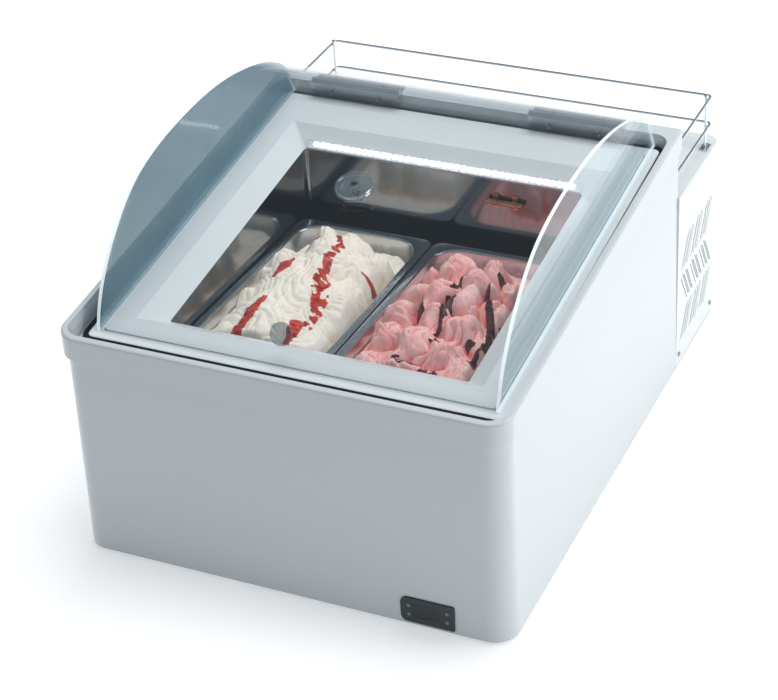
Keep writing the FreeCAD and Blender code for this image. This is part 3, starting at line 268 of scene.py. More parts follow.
def foamy(name, tint):
    f = Finish(name)
    cells = f.cells(700.0)
    rise = f.grain(18.0, 5.0, 0.6)
    base = f.mix(rise, tint, shaded(tint, 0.75))
    base = f.mix(cells * 0.8, shaded(tint, 0.7), base)
    return f.done(f.surface(Base_Color=base, Roughness=0.9, Normal=f.bump(cells + rise * 2.0, 0.5, 0.0008)))


def board(name, tint):
    f = Finish(name)
    weave = f.cells(1100.0)
    tracks = f.grain(160.0, 1.0, stretch=(1.0, 0.2, 4.0)).ramp(0.5, 0.54)
    base = f.mix(tracks * 0.4, tint, tuple(min(1.0, c * 1.6 + 0.03) for c in tint))
    return f.done(f.surface(Base_Color=base, Roughness=0.35 + weave * 0.2,
                            Normal=f.bump(tracks + weave * 0.3, 0.2, 0.0001)))


def glowing(name, tint, power):
    f = Finish(name)
    phosphor = f.cells(900.0)
    base = f.mix(phosphor, tint, shaded(tint, 0.85))
    return f.done(f.surface(Base_Color=base, Roughness=0.5, Emission_Color=base, Emission_Strength=power))


def copper(name):
    f = Finish(name)
    tarnish = f.grain(40.0, 5.0, 0.65).ramp(0.4, 0.75)
    base = f.mix(tarnish, (0.82, 0.42, 0.24), (0.36, 0.19, 0.12))
    return f.done(f.surface(Base_Color=base, Metallic=1.0, Roughness=0.24 + tarnish * 0.3,
                            Normal=f.bump(f.grain(220.0), 0.06, 0.0002)))


# churned cream with painted shade darkening its creases, and a glossy sauce where the streaks are
def gelato(name, body, creaseShadeTint, pale, sauceThin, sauceThick):
    f = Finish(name)
    sauceHere = f.attribute("sauce")
    hollow = f.attribute("hollow")
    streak = f.grain(55.0, 4.0, 0.6, stretch=(1.0, 0.45, 1.0), distortion=1.2)
    crystals = f.grain(900.0, 3.0, 0.7)
    churn = f.grain(210.0, 4.0, 0.65, distortion=0.6)
    ragged = f.grain(260.0, 3.0, 0.6)
    sauce = (sauceHere + ragged * 0.5 - 0.25).ramp(0.28, 0.42)
    cream = f.mix(streak.ramp(0.35, 0.7), body, pale)
    # painted shade: the creases are darkened towards the crease tint
    cream = f.mix(hollow.ramp(0.12, 0.9) * 0.8, cream, creaseShadeTint)
    syrup = f.mix(f.grain(120.0, 2.0).ramp(0.4, 0.65), sauceThin, sauceThick)
    bumps = churn * 0.6 + crystals * 0.35 + sauce * 1.6
    return f.done(f.surface(Base_Color=f.mix(sauce, cream, syrup),
                            Roughness=0.44 - sauce * 0.3 + crystals * 0.08, Coat_Weight=sauce * 0.7,
                            Subsurface_Weight=0.15, Subsurface_Radius=(0.6, 0.35, 0.25),
                            Subsurface_Scale=0.004, Normal=f.bump(bumps, 0.35, 0.0011)))


paint = {
    "shell": glossShell("whiteGelcoat", (0.56, 0.595, 0.615)),
    "housing": glossShell("whiteEnamel", (0.68, 0.71, 0.715), 0.2),
    "foam": foamy("insulationFoam", (0.80, 0.70, 0.42)),
    "tank": brushed("tankSteel", (0.30, 0.32, 0.345), 0.05, (0.12, 1.0, 6.0)),
    "pan": brushed("panSteel", (0.66, 0.68, 0.70), 0.16, (1.0, 0.1, 6.0), strength=0.03),
    "frame": moulded("greyFrame", (0.78, 0.82, 0.82), 0.3, texture=700.0, strength=0.06),
    "seal": rubber("blackSeal", (0.008, 0.008, 0.009)),
    "feet": rubber("footRubber", (0.02, 0.02, 0.02)),
    "sheet": acrylic("clearLid", (0.975, 0.98, 0.985), haze=0.025),
    "cheek": acrylic("clearCheek", (0.89, 0.93, 0.945), haze=0.0, edge=0.55, paintedLeftShade=0.58),
    "knob": acrylic("clearKnob", (0.86, 0.90, 0.91), haze=0.22),
    "pad": acrylic("smokyPad", (0.70, 0.74, 0.76), haze=0.10),
    "diffuser": moulded("lightDiffuser", (0.75, 0.78, 0.80), 0.3),
    "board": board("lightBoard", (0.72, 0.76, 0.78)),
    "circuit": board("circuitGreen", (0.03, 0.14, 0.07)),
    "lamp": glowing("lampWhite", (0.95, 0.98, 1.0), power=9.0),
    "hinge": brushed("hingeSteel", (0.78, 0.80, 0.82), 0.36, (0.3, 1.0, 5.0)),
    "screw": plated("screwSteel", (0.42, 0.44, 0.46), 0.25),
    "chrome": plated("railChrome", (0.86, 0.89, 0.92), 0.42),
    "zinc": galvanised("galvanised"),
    "black": moulded("blackHousing", (0.018, 0.019, 0.021), 0.34),
    "bezel": moulded("controlBezel", (0.006, 0.016, 0.018), 0.3),
    "glassBlack": moulded("displayGlass", (0.004, 0.014, 0.017), 0.42, texture=1200.0, strength=0.03),
    "button": rubber("buttonGrey", (0.16, 0.18, 0.18)),
    "copper": copper("copperPipe"),
    "fin": brushed("finAluminium", (0.72, 0.73, 0.74), 0.3, (1.0, 1.0, 0.2)),
    "compressor": moulded("blackEnamel", (0.012, 0.012, 0.014), 0.28, texture=300.0, strength=0.1),
    "spigot": moulded("spigotPlastic", (0.70, 0.71, 0.70), 0.4),
    "creamWhite": gelato("vanillaGelato", body=(0.97, 0.87, 0.74), creaseShadeTint=(0.86, 0.66, 0.48),
                         pale=(1.0, 0.95, 0.86), sauceThin=(0.66, 0.055, 0.02),
                         sauceThick=(0.36, 0.008, 0.005)),
    "creamPink": gelato("berryGelato", body=(1.0, 0.50, 0.46), creaseShadeTint=(0.86, 0.24, 0.21),
                        pale=(1.0, 0.66, 0.62), sauceThin=(0.11, 0.014, 0.01),
                        sauceThick=(0.025, 0.004, 0.004)),
}

# which finish each node of the frame gets
nodePaint = {
    "shell": ["outer_tub"],
    "housing": ["rear_housing", "housing_shelf"],
    "foam": ["foam_block"],
    "tank": ["inner_tank"],
    "frame": ["well_frame"],
    "pan": ["pan_left", "pan_right"],
    "creamWhite": ["ice_cream_left"],
    "creamPink": ["ice_cream_right"],
    "sheet": ["lid_canopy"],
    "cheek": ["lid_cheeks"],
    "knob": ["lid_knob"],
    "pad": ["finger_pad"],
    "seal": ["lid_gasket", "drain_plug"],
    "feet": ["rubber_feet", "compressor_grommets"],
    "diffuser": ["led_profile"],
    "board": ["led_board"],
    "lamp": ["led_lamps"],
    "hinge": ["hinge_leaves_body", "hinge_leaves_lid", "hinge_pins", "rail_mounts"],
    "screw": ["hinge_screws_body", "hinge_screws_lid", "case_screws", "compressor_bolts",
              "knob_screw_and_nut"],
    "chrome": ["rail_wires", "rail_posts"],
    "zinc": ["base_pan", "compressor_plate", "fan_motor", "fan_bracket"],
    "black": ["start_relay", "fan_shroud", "fan_blades", "power_inlet", "switch_body", "switch_rocker"],
    "bezel": ["control_bezel"],
    "glassBlack": ["control_window"],
    "button": ["button_up", "button_down", "button_set", "button_power"],
    "circuit": ["display_module"],
    "copper": ["condenser_tubes", "suction_line", "discharge_line", "filter_drier", "capillary_tube",
               "evaporator_coil", "temperature_probe"],
    "fin": ["condenser_fins"],
    "compressor": ["compressor_shell"],
    "spigot": ["drain_spigot"],
}
for finish, names in nodePaint.items():
    for name in names:
        nodes[name].data.materials.clear()
        nodes[name].data.materials.append(paint[finish])
print("materials:", len(paint))


# studio, in metres and watts: a pale floor that glows a little, three square lamps, of which only
# those that shine are seen in glossy surfaces, and cool air
studioFloor = {"half": 9.0, "tint": (0.86, 0.86, 0.86), "glow": 0.36}
studioAir = {"tint": (0.74, 0.88, 1.0), "strength": 0.24}
studioLamps = {
    "overhead": {"place": (0.2, 0.5, 3.2), "aim": (0, 0, 0.1), "size": 2.6, "power": 96.0, "shine": False},
    "rightBank": {"place": (3.0, 0.2, 1.3), "aim": (0, 0, 0.2), "size": 1.8, "power": 41.0, "shine": True},
    "rearBank": {"place": (0.3, 3.0, 1.6), "aim": (0, 0, 0.3), "size": 1.6, "power": 8.0, "shine": False},
}


def makeFloor():
    floor = bpy.data.objects.new("floor", bpy.data.meshes.new("floor"))
    shape = bmesh.new()
    bmesh.ops.create_grid(shape, x_segments=2, y_segments=2, size=studioFloor["half"])
    shape.to_mesh(floor.data)
    shape.free()
    bpy.context.scene.collection.objects.link(floor)
    f = Finish("paleFloor")
    floor.data.materials.append(f.done(f.surface(
        Base_Color=studioFloor["tint"], Roughness=0.85,
        Emission_Color=(1.0, 1.0, 1.0), Emission_Strength=studioFloor["glow"])))


def makeLamp(name, lamp):
    data = bpy.data.lights.new(name, "AREA")
    data.size = lamp["size"]
    data.energy = lamp["power"]
    made = bpy.data.objects.new(name, data)
    made.visible_glossy = lamp["shine"]
    made.location = lamp["place"]
    towards = Vector(lamp["aim"]) - Vector(lamp["place"])
    made.rotation_euler = towards.to_track_quat("-Z", "Y").to_euler()
    bpy.context.scene.collection.objects.link(made)


def makeStudio():
    makeFloor()
    for name, lamp in studioLamps.items():
        makeLamp(name, lamp)
    world = bpy.data.worlds.new("studioAir")
    world.use_nodes = True
    sky = world.node_tree.nodes["Background"]
    sky.inputs["Color"].default_value = (*studioAir["tint"], 1.0)
    sky.inputs["Strength"].default_value = studioAir["strength"]
    bpy.context.scene.world = world
    bpy.context.scene.view_settings.view_transform = "Standard"


makeCamera()
makeStudio()
print("studio ready")


def newPiece(name, points, faces, finish):
    mesh = bpy.data.meshes.new(name)
    mesh.from_pydata([tuple(p) for p in points], [], faces)
    mesh.validate()
    mesh.materials.append(paint[finish])
    mesh.shade_smooth()
    made = bpy.data.objects.new(name, mesh)
    bpy.context.scene.collection.objects.link(made)
    return made


def faceOutwards(made, mergeWithin=0.0):
    shape = bmesh.new()
    shape.from_mesh(made.data)
    if mergeWithin:
        bmesh.ops.remove_doubles(shape, verts=shape.verts, dist=mergeWithin)
    bmesh.ops.recalc_face_normals(shape, faces=shape.faces)
    shape.to_mesh(made.data)
    shape.free()


def finishPiece(made, body, slot, *stoodFor):
    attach(made, body)
    if stoodFor:
        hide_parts(*stoodFor)
    return made


# an outline with round corners, symmetrical about the middle, from y0 at the front to y1
def ring(halfX, y0, y1, corner, z, steps):
    points = []
    centres = [(halfX - corner, y0 + corner, -90), (halfX - corner, y1 - corner, 0),
               (-halfX + corner, y1 - corner, 90), (-halfX + corner, y0 + corner, 180)]
    for cx, cy, start in centres:
        for i in range(steps + 1):
            a = math.radians(start + 90 * i / steps)
            points.append(Vector((cx + corner * math.cos(a), cy + corner * math.sin(a), z)))
    return points


def bridged(rings):
    count = len(rings[0])
    points = [p for loop in rings for p in loop]
    faces = []
    for r in range(len(rings) - 1):
        near, far = r * count, (r + 1) * count
        for i in range(count):
            after = (i + 1) % count
            faces.append((near + i, near + after, far + after, far + i))
    return points, faces


# pans, in millimetres and degrees, measured from the front edge of the rim and from its top
# the walls lean in by the draft on the way down, a floorShare of it in the rounding of the floor
# rimEdge: inset, height, and the share of the sheet's thickness that lowers the outer skin
pan = {"depth": 149.0, "rim": 11.0, "draft": 7.0, "corner": 34.0, "rimCorner": 14.0, "sheet": 1.0,
       "lipRound": 3.2, "floorRound": 14.0, "floorShare": 0.08, "tilt": 2.8,
       "cornerSteps": 10, "floorSteps": 5, "wallSteps": 4, "lipSteps": 4,
       "rimEdge": [(1.6, 0.0, 1.0), (0.5, -0.4, 0.6), (0.0, -1.4, 0.0), (0.0, -4.0, 0.0)]}


# where a pan stands and how it is tilted, with its half width and its length along the tilt
def panFrame(node):
    low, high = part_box(node)
    tilt = math.radians(pan["tilt"])
    start = Matrix.Translation(((low.x + high.x) / 2, low.y, high.z))
    turn = start @ Matrix.Rotation(math.radians(-pan["tilt"]), 4, "X")
    return turn, (high.x - low.x) / mm / 2, (high.y - low.y) / mm / math.cos(tilt)


# the rings of one skin of the sheet, from the floor to the edge of the rim; behind is how far it
# lies behind the skin that is seen from inside
def panSkin(half, length, behind):
    depth, floorRound, lip = pan["depth"], pan["floorRound"], pan["lipRound"]
    floorSteps, wallSteps, lipSteps = pan["floorSteps"], pan["wallSteps"], pan["lipSteps"]
    rings = []

    def addRing(inset, corner, z):
        rings.append(ring(half - inset, inset, length - inset, corner, z, pan["cornerSteps"]))

    def addWall(inward, z, share):
        lean = pan["draft"] * share
        addRing(pan["rim"] + lean + inward, pan["corner"] - lean - inward, z)

    for i in range(floorSteps + 1):             # round the floor's edge
        a = math.radians(90 * i / floorSteps)
        z = -depth + floorRound * (1 - math.cos(a)) - behind + pan["sheet"]
        addWall(floorRound * (1 - math.sin(a)) - behind, z, 1.0 - pan["floorShare"] * i / floorSteps)
    for i in range(1, wallSteps + 1):
        z = -depth + floorRound + (depth - floorRound - lip) * i / wallSteps
        addWall(-behind, z, (1.0 - pan["floorShare"]) * (1 - i / wallSteps))
    for i in range(1, lipSteps + 1):            # roll over into the flat rim
        a = math.radians(90 * i / lipSteps)
        addWall(-behind - lip * (1 - math.cos(a)), -lip + lip * math.sin(a) - behind, 0.0)
    for inset, z, lowered in pan["rimEdge"]:
        addRing(inset + behind, pan["rimCorner"] - (inset + behind), z - behind * lowered)
    return rings


def makePan(name, node, body):
    turn, half, length = panFrame(node)
    rings = panSkin(half, length, 0.0) + panSkin(half, length, pan["sheet"])[::-1]
    points, faces = bridged(rings)
    count = len(rings[0])
    for at in (0, len(rings) - 1):              # close both skins of the floor
        points.append(sum(rings[at], Vector()) / count)
        for i in range(count):
            tri = (at * count + (i + 1) % count, at * count + i, len(points) - 1)
            faces.append(tri[::-1] if at else tri)
    made = newPiece(name, [turn @ (p * mm) for p in points], faces, "pan")
    faceOutwards(made)
    return finishPiece(made, body, "polished_steel", node)


makePan("leftPan", "pan_left", "left_pan")
makePan("rightPan", "pan_right", "right_pan")
print("pans pressed")

# ice cream, in millimetres and degrees, measured as the pans are
# lumps: x, y, half width, half length, turn, top above the rim
# streaks: points of x, y, half width, and whether pale gaps run through the sauce
# edges: height where the heap meets the left, right, rear and front walls
vanilla = {
    "cream": "creamWhite", "slot": "cream_white", "seed": 3.1,
    "spread": 1.45, "blend": 12.0, "warp": 9.0, "ripple": 2.0, "fold": 2.6,
    "edges": (-16, -16, -46, -14),
    "lumps": [(-6, 70, 50, 74, 0, 30), (-8, 140, 50, 78, 0, 40), (4, 205, 46, 52, 0, 46),
              (-42, 52, 22, 34, 12, 15), (-48, 104, 17, 26, -8, 20), (-46, 150, 18, 26, 10, 25),
              (-42, 196, 20, 26, -10, 26), (34, 128, 42, 84, -6, 24), (42, 200, 34, 44, 15, 28),
              (36, 40, 44, 56, 0, 12), (-16, 244, 24, 20, 0, 36), (18, 246, 30, 20, 10, 32),
              (-26, 18, 40, 30, 0, 8), (16, 168, 26, 46, -20, 42), (52, 244, 20, 18, 0, 14)],
    "streaks": [([(8, 232, 3), (22, 204, 4), (20, 180, 5), (22, 156, 6), (30, 134, 9), (38, 108, 8),
                  (46, 76, 3), (50, 58, 1)], True),
                ([(-19, 160, 3), (-19, 140, 7), (-21, 122, 3)], False),
                ([(-16, 80, 3), (-19, 58, 7), (-22, 34, 5), (-24, 12, 5), (-26, -6, 3)], False),
                ([(40, 72, 3), (34, 62, 7), (36, 44, 5), (38, 20, 3), (38, 4, 1)], False),
                ([(-20, 206, 1), (-8, 224, 3), (4, 236, 3)], False),
                ([(58, 184, 1), (70, 190, 3), (74, 180, 2)], False)],
}
berry = {
    "cream": "creamPink", "slot": "cream_pink", "seed": 8.7,
    "spread": 1.25, "blend": 11.0, "warp": 13.0, "ripple": 3.4, "fold": 4.6,
    "edges": (-16, -14, -44, -12),
    "lumps": [(-44, 38, 26, 30, 0, 10), (-42, 84, 24, 28, 10, 18), (-46, 130, 20, 24, 0, 24),
              (-44, 176, 20, 22, 0, 28), (-46, 214, 16, 20, 0, 26), (-14, 236, 26, 26, 0, 38),
              (26, 232, 24, 22, 0, 40), (54, 206, 20, 24, 0, 32), (10, 196, 30, 26, 20, 46),
              (-18, 168, 24, 30, -15, 40), (24, 156, 26, 24, 0, 42), (56, 158, 20, 30, 0, 26),
              (0, 120, 30, 32, 10, 38), (36, 112, 28, 30, -10, 32), (60, 100, 18, 34, 0, 16),
              (-10, 74, 34, 32, 0, 28), (28, 68, 26, 28, 0, 24), (54, 48, 24, 34, 0, 10),
              (-6, 28, 36, 30, 0, 14), (32, 20, 30, 26, 0, 10), (66, 14, 12, 12, 0, 10),
              (-24, 205, 18, 16, 0, 40), (40, 186, 14, 16, 0, 40)],
    "streaks": [([(4, 196, 2), (-2, 170, 6), (8, 136, 8), (10, 112, 4), (8, 92, 2)], True),
                ([(34, 184, 3), (50, 152, 4), (62, 122, 4), (68, 98, 3), (62, 84, 3), (62, 66, 4)], False),
                ([(-14, 40, 6), (2, 30, 12), (22, 20, 14), (42, 16, 8), (52, 14, 3)], True),
                ([(70, 150, 2), (68, 134, 6), (64, 122, 3)], True),
                ([(36, 222, 4), (48, 214, 7), (50, 202, 3)], True),
                ([(10, 76, 2), (22, 74, 3)], False),
                ([(48, 92, 3), (54, 94, 2)], False),
                ([(-36, 158, 2), (-28, 138, 5)], False)],
}

# what both heaps share: how finely they are cut, the gap to the pan and the level where they meet
# it, the wall's depth, the rings of their sides (the last is their floor), and how lumps rise
heapCut = {"cols": 136, "rows": 264, "clear": 0.7, "fill": 24.0, "wallDepth": 150.0,
           "sides": (-70.0, -110.0, -147.0), "base": -30.0, "lumpFoot": -26.0, "frost": 0.4}
# the edge: how wide the run down to the wall is, how far the top may dip below it, how it curves and
# waves, and where it starts and stops changing, from the rear and from the front
heapEdge = {"band": 13, "dip": 2, "curve": 0.7, "wave": 2.5, "rear": (70, 12), "front": (50, 10)}
# noises: size, scale along the pan (below 1 draws them out), place among the seeds, octaves
churn = {"warpX": (34, 1.0, 0, 2), "warpY": (34, 1.0, 40, 2), "ripple": (17, 0.55, 9, 2),
         "swirl": (52, 0.7, 21, 2), "side": (30, 1.0, 5, 2), "frost": (4.5, 1.0, 33, 2),
         "edge": (22, 1.0, 60, 1), "wander": (13, 1.0, 77, 2), "gaps": (11, 1.0, 90, 2)}
octaveSeed = 7.3                        # from one octave's seed to the next
foldMiddle = 0.6
# ribbons laid over each other, along the pan and across it: how far they swing, their pitch, the
# power that rounds them, and their share of the heap's fold
folds = {"swirl": {"swing": 5.5, "pitch": 46, "power": 0.55, "share": 1.0},
         "side": {"swing": 4.0, "pitch": 40, "power": 0.6, "share": 0.45}}
# sauce: where it fades out in half widths, how far its line wanders, how deep the pale gaps cut and
# between which values of their noise, and how high it stands and between which amounts of sauce
sauceCut = {"fade": 1.15, "wander": 2.2, "gap": 1.5, "gapBand": (0.12, 0.34), "stand": 1.1,
            "standBand": (0.1, 0.7)}
# painted crease shade: how it is found from the heap's top
creaseShadeCut = {"blurs": 7, "depth": 1.1}  # how often the top is blurred, and what counts as a full crease


def churned(x, y, heap, kind):
    size, along, place, octaves = churn[kind]
    total = np.zeros(len(x))
    for k in range(octaves):
        scale = size / 2 ** k
        layer = heap["seed"] + place + octaveSeed * k
        values = [noise.noise(Vector((a / scale, b / scale, layer))) for a, b in zip(x, y * along)]
        total += np.array(values) / 2 ** k
    return total


def softMax(a, b, width):
    h = np.clip(0.5 + 0.5 * (b - a) / width, 0, 1)
    return a + (b - a) * h + width * h * (1 - h)


def smoothStep(low, high, value):
    t = np.clip((value - low) / (high - low), 0, 1)
    return t * t * (3 - 2 * t)


# signed distance from a streak's middle line, and the streak's half width there
def alongStreak(x, y, points):
    best = np.full(len(x), 1e6)
    width = np.ones(len(x))
    for (ax, ay, aw), (bx, by, bw) in zip(points, points[1:]):
        dx, dy = bx - ax, by - ay
        length = math.hypot(dx, dy)
        t = np.clip(((x - ax) * dx + (y - ay) * dy) / length ** 2, 0, 1)
        px, py = x - ax - dx * t, y - ay - dy * t
        gap = np.hypot(px, py)
        nearer = gap < np.abs(best)
        best = np.where(nearer, gap * np.sign(px * -dy + py * dx + 1e-9), best)
        width = np.where(nearer, aw + (bw - aw) * t, width)
    return best, width


# a grid with its corners pulled in to the pan's round ones, how far inside the wall each point is,
# and the grid's half width and half length
def heapPlan(half, length):
    lean = pan["draft"] * heapCut["fill"] / heapCut["wallDepth"]
    hx = half - pan["rim"] - lean - heapCut["clear"]
    hy = (length - 2 * pan["rim"]) / 2 - lean - heapCut["clear"]
    corner = pan["corner"] - lean
    s, t = np.meshgrid(np.linspace(-1, 1, heapCut["cols"]), np.linspace(-1, 1, heapCut["rows"]))
    x, y = s.ravel() * hx, t.ravel() * hy
    cx, cy = hx - corner, hy - corner
    ox, oy = np.maximum(np.abs(x) - cx, 0), np.maximum(np.abs(y) - cy, 0)
    both = (ox > 0) & (oy > 0)
    reach = np.hypot(ox, oy) + 1e-9
    square = np.maximum(ox, oy)
    x = np.where(both, np.sign(x) * (cx + ox / reach * square), x)
    y = np.where(both, np.sign(y) * (cy + oy / reach * square), y)
    ox, oy = np.maximum(np.abs(x) - cx, 0), np.maximum(np.abs(y) - cy, 0)
    inside = corner - np.hypot(ox, oy)
    inside = np.where((ox == 0) | (oy == 0), np.minimum(hx - np.abs(x), hy - np.abs(y)), inside)
    return x, y + length / 2, np.maximum(inside, 0), hx, hy


# heights of the lumps, rippled and folded, at places the churning has already moved
def lumpHeights(wx, wy, heap):
    z = np.full(len(wx), heapCut["base"])
    foot = heapCut["lumpFoot"]
    for lx, ly, rx, ry, spin, top in heap["lumps"]:
        c, d = math.cos(math.radians(spin)), math.sin(math.radians(spin))
        u = ((wx - lx) * c + (wy - ly) * d) / rx
        v = ((wy - ly) * c - (wx - lx) * d) / ry
        lump = foot + (top - foot) * np.sqrt(np.maximum(1 - u * u - v * v, 0))
        z = softMax(z, lump, heap["blend"])
    z += heap["ripple"] * churned(wx, wy, heap, "ripple")
    for kind, run in (("swirl", wy), ("side", wx)):
        fold = folds[kind]
        phase = churned(wx, wy, heap, kind) * fold["swing"] + run / fold["pitch"]
        ribbon = np.abs(np.sin(np.pi * phase)) ** fold["power"]
        z += heap["fold"] * fold["share"] * (ribbon - foldMiddle)
    z += heapCut["frost"] * churned(wx, wy, heap, "frost")
    return z


# the heap runs down to the pan's wall, lower at the rear and the front
def meetWalls(x, y, z, inside, length, heap):
    left, right, rear, front = heap["edges"]
    start, stop = heapEdge["rear"]
    edge = np.where(x < 0, left, right) + (rear - left) * smoothStep(length - start, length - stop, y)
    wave = heapEdge["wave"] * churned(x, y, heap, "edge")
    edge += (front - left) * smoothStep(*heapEdge["front"], y) + wave
    share = smoothStep(0, heapEdge["band"], inside) ** heapEdge["curve"]
    return edge + (np.maximum(z, edge - heapEdge["dip"]) - edge) * share


def sauceOver(x, y, wx, wy, heap):
    sauce = np.zeros(len(x))
    wander = sauceCut["wander"] * churned(wx, wy, heap, "wander")
    gaps = smoothStep(*sauceCut["gapBand"], churned(wx, wy, heap, "gaps"))
    for points, gappy in heap["streaks"]:
        across, width = alongStreak(x, y, points)
        value = sauceCut["fade"] - np.abs(across + wander) / (width * heap["spread"])
        if gappy:
            value = value - sauceCut["gap"] * gaps
        sauce = np.maximum(sauce, np.clip(value, 0, 1))
    return sauce


# painted crease shade: 1 in a crease and 0 on a crest, from how far the blurred top stands above the top
# itself
def creaseShadeOf(z):
    grid = z.reshape(heapCut["rows"], heapCut["cols"])
    blur = grid
    for _ in range(creaseShadeCut["blurs"]):
        blur = (np.roll(blur, 1, 0) + np.roll(blur, -1, 0) + np.roll(blur, 1, 1) + np.roll(blur, -1, 1)) / 4
    return np.clip((blur - grid) / creaseShadeCut["depth"], 0, 1).ravel()


# sides that follow the pan's lean down from the edge of the top, and a floor
def closeBelow(points, faces, middle, hx, hy):
    cols, rows = heapCut["cols"], heapCut["rows"]
    front = list(range(cols))
    right = [r * cols + cols - 1 for r in range(1, rows)]
    rear = [(rows - 1) * cols + i for i in range(cols - 2, -1, -1)]
    left = [r * cols for r in range(rows - 2, 0, -1)]
    rim = front + right + rear + left
    count = len(rim)
    above = rim
    for depth in heapCut["sides"]:
        shrink = pan["draft"] * (-depth - heapCut["fill"]) / heapCut["wallDepth"] / hx
        below = list(range(len(points), len(points) + count))
        for i in rim:
            p = points[i]
            y = middle.y + (p.y - middle.y) * (1 - shrink * hx / hy)
            points.append(Vector((p.x * (1 - shrink), y, depth)))
        for i in range(count):
            after = (i + 1) % count
            faces.append((above[after], above[i], below[i], below[after]))
        above = below
    points.append(Vector((0, middle.y, heapCut["sides"][-1])))
    for i in range(count):
        faces.append((above[(i + 1) % count], above[i], len(points) - 1))


def makeHeap(name, node, panNode, body, heap):
    turn, half, length = panFrame(panNode)
    x, y, inside, hx, hy = heapPlan(half, length)
    wx = x + heap["warp"] * churned(x, y, heap, "warpX")
    wy = y + heap["warp"] * churned(x, y, heap, "warpY")
    z = meetWalls(x, y, lumpHeights(wx, wy, heap), inside, length, heap)
    sauce = sauceOver(x, y, wx, wy, heap)
    z += sauceCut["stand"] * smoothStep(*sauceCut["standBand"], sauce)
    points = [Vector(p) for p in zip(x, y, z)]
    cols = heapCut["cols"]
    faces = []
    for r in range(heapCut["rows"] - 1):
        for i in range(r * cols, r * cols + cols - 1):
            faces.append((i, i + 1, i + cols + 1, i + cols))
    closeBelow(points, faces, Vector((0, length / 2, 0)), hx, hy)
    made = newPiece(name, [turn @ (p * mm) for p in points], faces, heap["cream"])
    # neither sauce nor painted crease shade goes on the sides and the floor
    plain = np.zeros(len(points) - len(x))      # no sauce or hollows on the sides and the floor
    for title, values in (("sauce", sauce), ("hollow", creaseShadeOf(z))):
        layer = made.data.attributes.new(title, "FLOAT", "POINT")
        layer.data.foreach_set("value", np.concatenate((values, plain)).astype(np.float32))
    return finishPiece(made, body, heap["slot"], node)


makeHeap("vanillaHeap", "ice_cream_left", "pan_left", "left_pan", vanilla)
makeHeap("berryHeap", "ice_cream_right", "pan_right", "right_pan", berry)
print("ice cream heaped")

rowEdge = {"share": 0.16, "segments": 2}        # soft edges, as a share of a block's thinnest side


# a group whose inputs say what is repeated: a block, where the row starts, how it steps and leans
def rowGroup():
    group = bpy.data.node_groups.new("blockRow", "GeometryNodeTree")
    for title, kind in (
            ("Count", "NodeSocketInt"), ("Start", "NodeSocketVector"), ("Step", "NodeSocketVector"),
            ("Block", "NodeSocketVector"), ("Lean", "NodeSocketFloat"), ("Finish", "NodeSocketMaterial")):
        group.interface.new_socket(title, in_out="INPUT", socket_type=kind)
    group.interface.new_socket("Geometry", in_out="OUTPUT", socket_type="NodeSocketGeometry")
    made = {key: group.nodes.new(kind) for key, kind in (
        ("given", "NodeGroupInput"), ("line", "GeometryNodeMeshLine"), ("block", "GeometryNodeMeshCube"),
        ("spin", "ShaderNodeCombineXYZ"), ("place", "GeometryNodeInstanceOnPoints"),
        ("real", "GeometryNodeRealizeInstances"), ("paint", "GeometryNodeSetMaterial"),
        ("out", "NodeGroupOutput"))}
    for start, socket, end, slot in (
            ("given", "Count", "line", "Count"), ("given", "Start", "line", "Start Location"),
            ("given", "Step", "line", "Offset"), ("given", "Block", "block", "Size"),
            ("given", "Lean", "spin", "X"), ("line", "Mesh", "place", "Points"),
            ("block", "Mesh", "place", "Instance"), ("spin", "Vector", "place", "Rotation"),
            ("place", "Instances", "real", "Geometry"), ("real", "Geometry", "paint", "Geometry"),
            ("given", "Finish", "paint", "Material"), ("paint", "Geometry", "out", "Geometry")):
        group.links.new(made[start].outputs[socket], made[end].inputs[slot])
    return group


rowNodes = rowGroup()


def makeRow(name, row, body, slot, *stoodFor):
    made = bpy.data.objects.new(name, bpy.data.meshes.new(name + "Seed"))
    bpy.context.scene.collection.objects.link(made)
    work = made.modifiers.new("row", "NODES")
    work.node_group = rowNodes
    for item in rowNodes.interface.items_tree:
        if item.in_out == "INPUT":
            value = row[item.name.lower()]
            work[item.identifier] = paint[value] if item.name == "Finish" else value
    bpy.context.view_layer.update()
    graph = bpy.context.evaluated_depsgraph_get()
    mesh = bpy.data.meshes.new_from_object(made.evaluated_get(graph), depsgraph=graph)
    made.modifiers.remove(work)
    shape = bmesh.new()
    shape.from_mesh(mesh)
    bmesh.ops.bevel(shape, geom=shape.edges[:], offset=min(row["block"]) * rowEdge["share"],
                    segments=rowEdge["segments"], profile=0.5, affect="EDGES")
    shape.to_mesh(mesh)
    shape.free()
    made.data = mesh
    return finishPiece(made, body, slot, *stoodFor)


def rowStart(count, pitch):             # from the middle of a row to its first block
    return -(count - 1) / 2 * pitch * mm


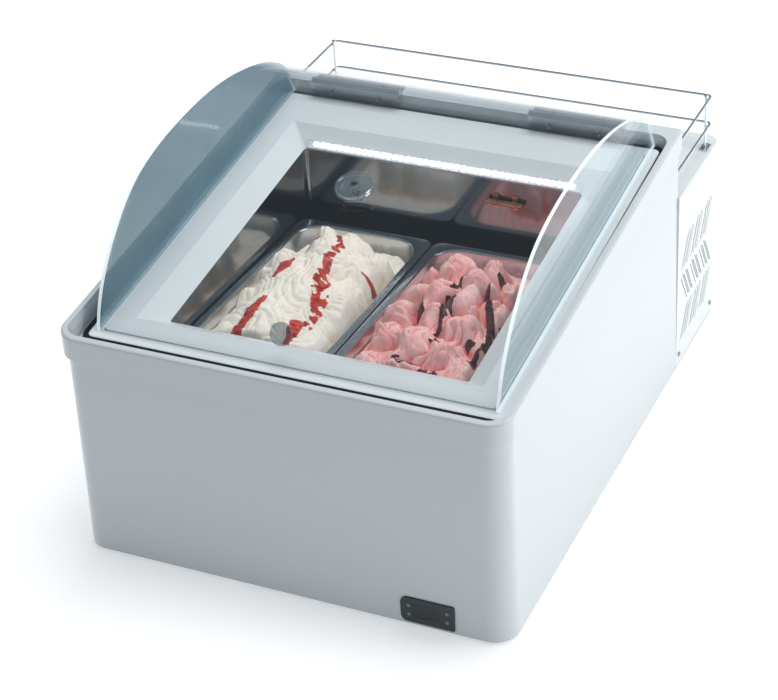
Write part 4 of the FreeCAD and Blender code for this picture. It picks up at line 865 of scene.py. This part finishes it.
# light strip, in millimetres: lamps along the rear of the throat, under a toothed cover
strip = {"lampPitch": 8.0, "lamp": (5.2, 1.3, 4.6), "toothPitch": 4.0, "tooth": (2.2, 1.0, 3.0),
         "toothBack": 2.0, "toothDrop": 2.4, "teethLeftOut": 2}
lampLow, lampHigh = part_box("led_lamps")
lampMid = (lampLow + lampHigh) / 2
stripLow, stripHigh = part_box("led_profile")
stripLean = math.atan2(stripHigh.z - stripLow.z, stripHigh.y - stripLow.y) - math.pi / 2
lampCount = int((lampHigh.x - lampLow.x) / mm / strip["lampPitch"]) + 1
makeRow("lampRow", {
    "count": lampCount,
    "start": (rowStart(lampCount, strip["lampPitch"]), lampMid.y, lampMid.z),
    "step": (strip["lampPitch"] * mm, 0, 0),
    "block": tuple(v * mm for v in strip["lamp"]),
    "lean": stripLean,
    "finish": "lamp"}, "cabinet", "lamp_yellow", "led_lamps")
toothCount = int((stripHigh.x - stripLow.x) / mm / strip["toothPitch"]) - strip["teethLeftOut"]
makeRow("toothRow", {
    "count": toothCount,
    "start": (rowStart(toothCount, strip["toothPitch"]), stripHigh.y - strip["toothBack"] * mm,
              stripHigh.z - strip["toothDrop"] * mm),
    "step": (strip["toothPitch"] * mm, 0, 0),
    "block": tuple(v * mm for v in strip["tooth"]),
    "lean": stripLean,
    "finish": "diffuser"}, "cabinet", "light_diffuser")

# condenser, in millimetres: thin fins at their real pitch
fins = {"pitch": 1.8, "sheet": 0.35}
finLow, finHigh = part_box("condenser_fins")
finMid = (finLow + finHigh) / 2
finCount = int((finHigh.y - finLow.y) / mm / fins["pitch"])
makeRow("finRow", {
    "count": finCount,
    "start": (finMid.x, finMid.y + rowStart(finCount, fins["pitch"]), finMid.z),
    "step": (0, fins["pitch"] * mm, 0),
    "block": (finHigh.x - finLow.x, fins["sheet"] * mm, finHigh.z - finLow.z),
    "lean": 0.0,
    "finish": "fin"}, "cabinet", "fin_aluminium", "condenser_fins")
print("rows repeated")

# gasket, in millimetres and degrees: a rubber bulb and the grey land it is held in, each a profile
# of inset from the outer edge and height from the gasket's top
gasket = {"corner": 14.0, "leastCorner": 2.5, "slope": 6.17, "steps": 8, "mergeWithin": 0.001,
          "bulb": [(0.4, -4.8), (0.0, -3.6), (0.0, -1.6), (0.5, -0.7), (1.5, -0.15), (2.6, 0.0), (4.2, 0.0),
                   (5.3, -0.2), (6.1, -0.8), (6.4, -1.8), (6.4, -4.8)],
          "land": [(6.6, -4.8), (6.6, -1.3), (7.2, -0.8), (12.0, -0.7), (19.2, -0.7), (20.2, -1.2),
                   (20.3, -4.8)]}


def makeLoop(name, profile, finish, slot, *stoodFor):
    low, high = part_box("lid_gasket")
    rise = math.tan(math.radians(gasket["slope"]))
    half, length = (high.x - low.x) / mm / 2, (high.y - low.y) / mm
    thick = (high.z - low.z) / mm - length * rise
    rings = []
    for inset, height in profile + profile[:1]:
        corner = max(gasket["corner"] - inset, gasket["leastCorner"])
        loop = ring(half - inset, inset, length - inset, corner, 0, gasket["steps"])
        rings.append([Vector((p.x, p.y, thick + height + p.y * rise)) for p in loop])
    points, faces = bridged(rings)
    start = Vector((0, low.y, low.z))
    made = newPiece(name, [start + p * mm for p in points], faces, finish)
    faceOutwards(made, gasket["mergeWithin"] * mm)
    return finishPiece(made, "cabinet", slot, *stoodFor)


makeLoop("gasketBulb", gasket["bulb"], "seal", "seal_black", "lid_gasket")
makeLoop("gasketLand", gasket["land"], "frame", "frame_grey")
print("gasket laid")
